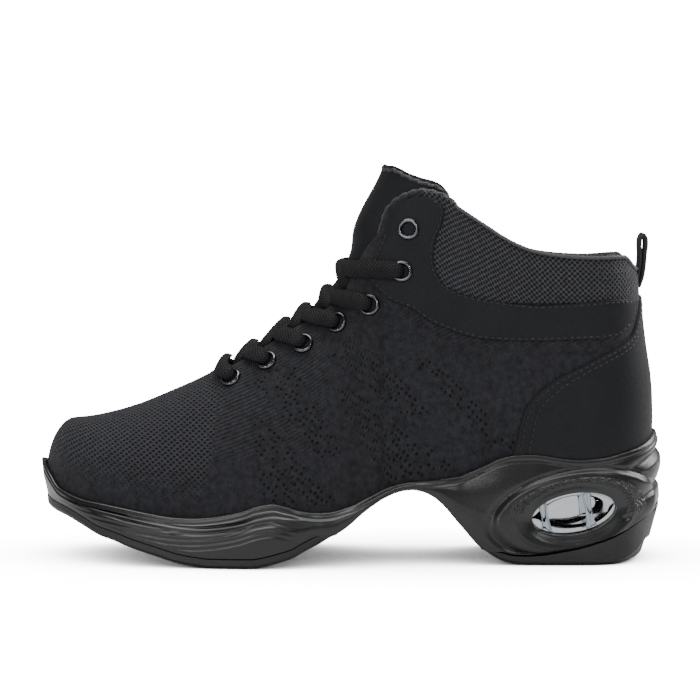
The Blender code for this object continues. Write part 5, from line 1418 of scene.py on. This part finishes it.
def buildMidsole():
    half = turnsAlong(sole["spacing"], sole["fan"])
    turn = np.concatenate([half, half[-2:0:-1]])[:, None]
    side = np.concatenate([np.full(len(half), outerSide), np.full(len(half) - 2, innerSide)])[:, None]
    station = floorStation(turn, side)
    bed, lip, low = bedHeight(station), lipHeight(station), midsoleUnder(station)
    normal = outlineNormal(turn, side, bed)
    clear = last["gap"] * 1.6
    edge = lastPoint(turn, lip, side)
    foot = lastPoint(turn, bed, side)
    inside = []
    inside.append(np.concatenate([foot[..., :2], bed[..., None]], -1) + normal * clear)
    for share in (0.35, 0.7):
        inside.append(lastPoint(turn, bed + (lip - bed) * share, side) + normal * clear)
    thick = sole["lipThickness"]
    for angle in np.linspace(math.pi, math.pi * 0.25, 8):  # the lip's rounded top
        bead = edge + normal * (clear + thick * (0.45 + 0.45 * math.cos(angle)))
        bead[..., 2] = (lip - 0.0008 + 0.0008 * math.sin(angle))
        inside.append(bead)
    depth = np.unique(np.concatenate([np.linspace(0.0, 1, sole["rows"])[1:], [0.006]]))[None]
    level = lip - 0.0004 - (lip - 0.0004 - low) * depth
    base = lastPoint(turn, np.maximum(level, bed), side)
    base = edge + (base - edge) * np.minimum(depth * 2, 1)[..., None]
    below = lip - level
    out = wallOffset(depth, turn, station)
    first = clear + thick * 0.86
    out = out + (first - wallOffset(np.zeros_like(depth), turn, station)) * np.exp(-below / 0.0012)
    out = out - 0.00045 * np.exp(-((below - 0.0024) / 0.0005) ** 2)  # the line under the lip's bead
    point = base + normal * out[..., None]
    point[..., 2] = level
    tall = lip - low
    relief = sideRelief(point[..., 0], point[..., 2], station, below, tall)
    relief = relief * ease(depth / 0.06) * ease((1.0 - depth) / 0.04)
    point = point + normal * relief[..., None]
    corner = point[:, -1:].copy()
    point[:, -1, 2] += np.minimum(0.0010, tall[:, 0] * 0.15)
    corner = corner - normal * 0.0016
    rows = np.concatenate([np.concatenate(inside, 1), point, corner], 1)
    count, width = rows.shape[:2]
    faces = gridFaces(count, width, closedRows=True)
    line = np.arange(len(half))
    a, b = line[:-1], line[1:]
    c, d = (count - a) % count, (count - b) % count
    for row in (0, width - 1):
        quads = np.stack([a * width + row, b * width + row, d * width + row, c * width + row], -1).tolist()
        faces += [list(dict.fromkeys(quad)) for quad in quads if len(set(quad)) > 2]
    x, z = rows[..., 0], rows[..., 2]
    pod = podReach(x - 0.001, z - 0.0005, sole["podLength"], sole["podHeight"])
    rim = podReach(x, z, sole["cellLength"] + 0.0085, sole["cellHeight"] + 0.0085)
    stipple = ease((0.88 - pod) / 0.05) * ease((rim - 1.0) / 0.08) * ease((z - 0.020) / 0.004)
    uv, marks = np.stack([x, z], -1) * 100, {"stipple": stipple}
    piece = makePiece("midsoleCup", rows, faces, soleFoam, uv, marks, "moulded_sole", ["midsole"], 45)
    cutter = bpy.data.objects.new("tunnel", tunnelMesh())
    bpy.context.scene.collection.objects.link(cutter)
    cut = piece.modifiers.new("window", "BOOLEAN")
    cut.operation, cut.solver, cut.object = "DIFFERENCE", "EXACT", cutter
    graph = bpy.context.evaluated_depsgraph_get()
    done = bpy.data.meshes.new_from_object(piece.evaluated_get(graph))
    piece.modifiers.clear()
    piece.data = done
    piece.data.materials.clear()
    piece.data.materials.append(soleFoam)
    piece.data.set_sharp_from_angle(angle=math.radians(40))
    bpy.data.objects.remove(cutter)


def tunnelMesh(sides=72):  # an oval bar right across the sole, a gap wider than the air cell
    angle = np.linspace(0, 2 * math.pi, sides, endpoint=False)
    a = (sole["cellLength"] / 2 + last["gap"]) * np.cos(angle)
    b = (sole["cellHeight"] / 2 + last["gap"]) * np.sin(angle)
    mesh = bpy.data.meshes.new("tunnel")
    mesh.from_pydata(np.concatenate([tilted(a, y, b) for y in (-0.09, 0.09)]), [], tubeFaces(2, sides))
    work = bmesh.new()
    work.from_mesh(mesh)
    bmesh.ops.recalc_face_normals(work, faces=work.faces)
    work.to_mesh(mesh)
    work.free()
    return mesh


def tilted(along, y, up):  # places in the cell's own axes turned with the pod
    x = stationX(1) - sole["cellFromBack"] + along * math.cos(sole["podTilt"]) - up * math.sin(sole["podTilt"])
    z = sole["cellHigh"] + along * math.sin(sole["podTilt"]) + up * math.cos(sole["podTilt"])
    return np.stack(np.broadcast_arrays(x, y, z), -1)


def buildAirCell():  # a blown bar with rounded ends and pillars moulded inside it
    near = -(float(halfWidth(heelStation, -1)) + sole["flange"] * 0.93) + sole["cellRecess"]
    far = float(halfWidth(heelStation, 1)) + sole["flange"] * 0.93 - sole["cellRecess"]
    t = np.linspace(0, 1, 60)
    y = near + (far - near) * t
    fromEnd = np.minimum(t, 1 - t) * (far - near)
    scale = 0.5 + 0.5 * np.sqrt(1 - (1 - np.clip(fromEnd / 0.0055, 0, 1)) ** 2)
    angle = np.linspace(0, 2 * math.pi, 96, endpoint=False)
    a = sole["cellLength"] / 2 * scale[:, None] * np.cos(angle)
    b = sole["cellHeight"] / 2 * scale[:, None] * np.sin(angle)
    parts = [(tilted(a, y[:, None], b).reshape(-1, 3), tubeFaces(60, 96))]
    turn = np.linspace(0, 2 * math.pi, 24, endpoint=False)
    for offset in sole["pillars"]:  # waisted columns from the cell's floor to its roof, near both ends
        tall = sole["cellHeight"] / 2 * math.sqrt(1 - (offset / (sole["cellLength"] / 2)) ** 2) * 0.93
        level = np.linspace(-1, 1, 11)[:, None]
        reachOut = sole["pillarRadius"] * (1 + 0.7 * level ** 2)
        for middle in (near + 0.0075, far - 0.0075):
            column = tilted(offset + reachOut * np.cos(turn), middle + reachOut * np.sin(turn), tall * level)
            parts.append((column.reshape(-1, 3), tubeFaces(11, 24)))
    makePiece("airCell", *joinParts(parts), clearPlastic, None, None, "clear_cell", ["air_cell"], 50)


# both sheets across the sole; the lower one carries the grooves
def buildTread(name, firstStation, lastStation, node):
    whole = turnsAlong(0.0009, 60, first=max(firstStation, 0.0))
    if lastStation < heelStation:
        whole = whole[whole * heelStation <= lastStation]
    turn = np.concatenate([[firstStation / heelStation], whole[whole > firstStation / heelStation + 1e-6]])
    if lastStation < heelStation:
        turn = np.concatenate([turn, [lastStation / heelStation]])
    ends = {}
    for side in (outerSide, innerSide):
        station = floorStation(turn, side)
        bed = bedHeight(station)
        normal = outlineNormal(turn, side, bed)
        out = wallOffset(np.ones_like(turn), turn, station)
        ends[side] = lastPoint(turn, bed, side) + normal * out[:, None]
        ends[side][:, 2] = undersideHeight(station)
    edge = np.array([0, 0.004, 0.012, 0.025, 0.045])
    share = np.concatenate([edge, np.linspace(0.07, 0.93, 40), 1 - edge[::-1]])
    a, b = ends[outerSide][:, None], ends[innerSide][:, None]
    low = a + (b - a) * share[None, :, None]
    high = low.copy()
    station = np.clip((low[..., 0] - last["toeX"]) / last["length"], 0, 1)
    high[..., 2] += treadHeight(floorStation(turn, outerSide))[:, None]
    width = np.linalg.norm(b - a, axis=-1)
    inward = np.minimum(share, 1 - share)[None] * width
    if lastStation >= heelStation:  # round the heel the distance to the edge is measured along its radius
        reach, half = a[-1, 0, 0] - heelX, np.max(width) / 2
        middle = (a[-1, 0, 1] + b[-1, 0, 1]) / 2
        power = last["roundness"]
        level = (np.maximum(low[..., 0] - heelX, 0) / reach) ** power
        level = level + (np.abs(low[..., 1] - middle) / half) ** power
        radial = np.maximum(1 - level ** (1 / power), 0) * reach
        inward = np.where(low[..., 0] > heelX, np.minimum(inward, radial), inward)
    heelEnd = ease((turn - 1.25) / 0.5)[:, None]
    corner = (0.0016 + 0.0045 * heelEnd) * (1 - ease(inward / (0.003 + 0.006 * heelEnd))) ** 1.5
    pitch = sole["groovePitch"]
    phase = np.mod((station - firstStation) / pitch - 0.8 + 0.5, 1) - 0.5
    groove = 0.0018 * ease(1.35 - np.abs(phase) * pitch * last["length"] / 0.0013)
    groove = groove * ease((inward - 0.003) / 0.004)
    slanted = low[..., 0] * 0.94 + np.abs(low[..., 1] - 0.002) * 0.34
    ribs = 0.00045 * (0.5 + 0.5 * np.cos(2 * math.pi * slanted / 0.0026))
    low[..., 2] += corner + np.maximum(groove, ribs * ease((inward - 0.004) / 0.003)) * ease(inward / 0.0008)
    low[..., 2] = np.minimum(low[..., 2], high[..., 2] - 0.0002)
    low[..., 0] -= 0.0034 * heelEnd * (1 - ease(inward / 0.012))  # the back leans in to the floor
    makePlate(name, low, high, treadRubber, low[..., :2] * 100, "tread_rubber", [node], 40)


buildMidsole()
buildAirCell()
buildTread("forefootTread", 0.0, sole["foreEnd"] - 0.002, "outsole_forefoot")
buildTread("heelTread", sole["heelStart"] + 0.002, 1.0, "outsole_heel")
print("sole made")

# pale floor that glows for the camera, with a painted contact shadow from ambient occlusion; sky and soft lights
studio = {"floor": "#f4f4f4", "sky": 0.25, "backdrop": 18.0, "through": 0.9, "floorSize": 6.0, "shadow": 0.09}
floorMesh = bpy.data.meshes.new("floor")
reach = studio["floorSize"]
corners = [(-reach, -reach, 0), (reach, -reach, 0), (reach, reach, 0), (-reach, reach, 0)]
floorMesh.from_pydata(corners, [], [(0, 1, 2, 3)])
floorPaint, floorTree, floorShader = startMaterial("matt studio floor", studio["floor"], 0.9)


# bright for what the camera sees straight, dimmer through the clear cell, 0 for light on the shoe
def seenStrength(tree):
    path = addNode(tree, "ShaderNodeLightPath")
    straight = mathNode(tree, "MULTIPLY", path.outputs["Is Camera Ray"], studio["backdrop"])
    through = mathNode(tree, "MULTIPLY", path.outputs["Is Transmission Ray"], studio["through"])
    return mathNode(tree, "MAXIMUM", straight, through)


# painted shadow: the floor's glow is darkened by ambient occlusion near the shoe, a contact shadow painted in
# rather than cast by the lamps
paintedContactShadow = addNode(floorTree, "ShaderNodeAmbientOcclusion", {"Distance": studio["shadow"]}).outputs["AO"]
paintedContactShadow = mathNode(floorTree, "POWER", paintedContactShadow, 1.6)
seen = seenStrength(floorTree)
glow = addNode(floorTree, "ShaderNodeEmission", Strength=mathNode(floorTree, "MULTIPLY", paintedContactShadow, seen))
straight = mathNode(floorTree, "GREATER_THAN", seen, 0.01)
matt, glowing = floorShader.outputs[0], glow.outputs[0]
mixed = addNode(floorTree, "ShaderNodeMixShader", None, Fac=straight, i1=matt, i2=glowing)
floorTree.links.new(mixed.outputs[0], floorTree.nodes["Material Output"].inputs["Surface"])
floorMesh.materials.append(floorPaint)
floor = bpy.data.objects.new("floor", floorMesh)
bpy.context.scene.collection.objects.link(floor)

world = bpy.data.worlds.new("studio")
world.use_nodes = True
world.node_tree.nodes["Background"].inputs["Color"].default_value = (1, 1, 1, 1)
brightness = mathNode(world.node_tree, "MAXIMUM", seenStrength(world.node_tree), studio["sky"])
world.node_tree.links.new(brightness, world.node_tree.nodes["Background"].inputs["Strength"])
bpy.context.scene.world = world


def softLight(name, place, aim, size, power):
    data = bpy.data.lights.new(name, "AREA")
    data.shape, data.size, data.size_y, data.energy = "RECTANGLE", size[0], size[1], power
    lamp = bpy.data.objects.new(name, data)
    lamp.location = place
    lamp.rotation_euler = (Vector(aim) - Vector(place)).to_track_quat("-Z", "Y").to_euler()
    bpy.context.scene.collection.objects.link(lamp)


softLight("overhead", (0.0, 0.1, 1.5), (0, 0, 0.05), (1.4, 0.9), 26)
softLight("front", (-0.5, -1.5, 0.9), (0, 0, 0.08), (0.5, 0.7), 9)
softLight("rim", (0.9, 0.5, 0.7), (0.05, 0, 0.08), (0.4, 0.8), 10)
# these two put the arcs on the eyelets
softLight("arcHigh", (0.55, -0.8, 0.75), (0, 0, 0.09), (0.10, 0.10), 2.5)
softLight("arcLow", (-0.75, -0.9, 0.12), (0, 0, 0.09), (0.10, 0.10), 1.5)
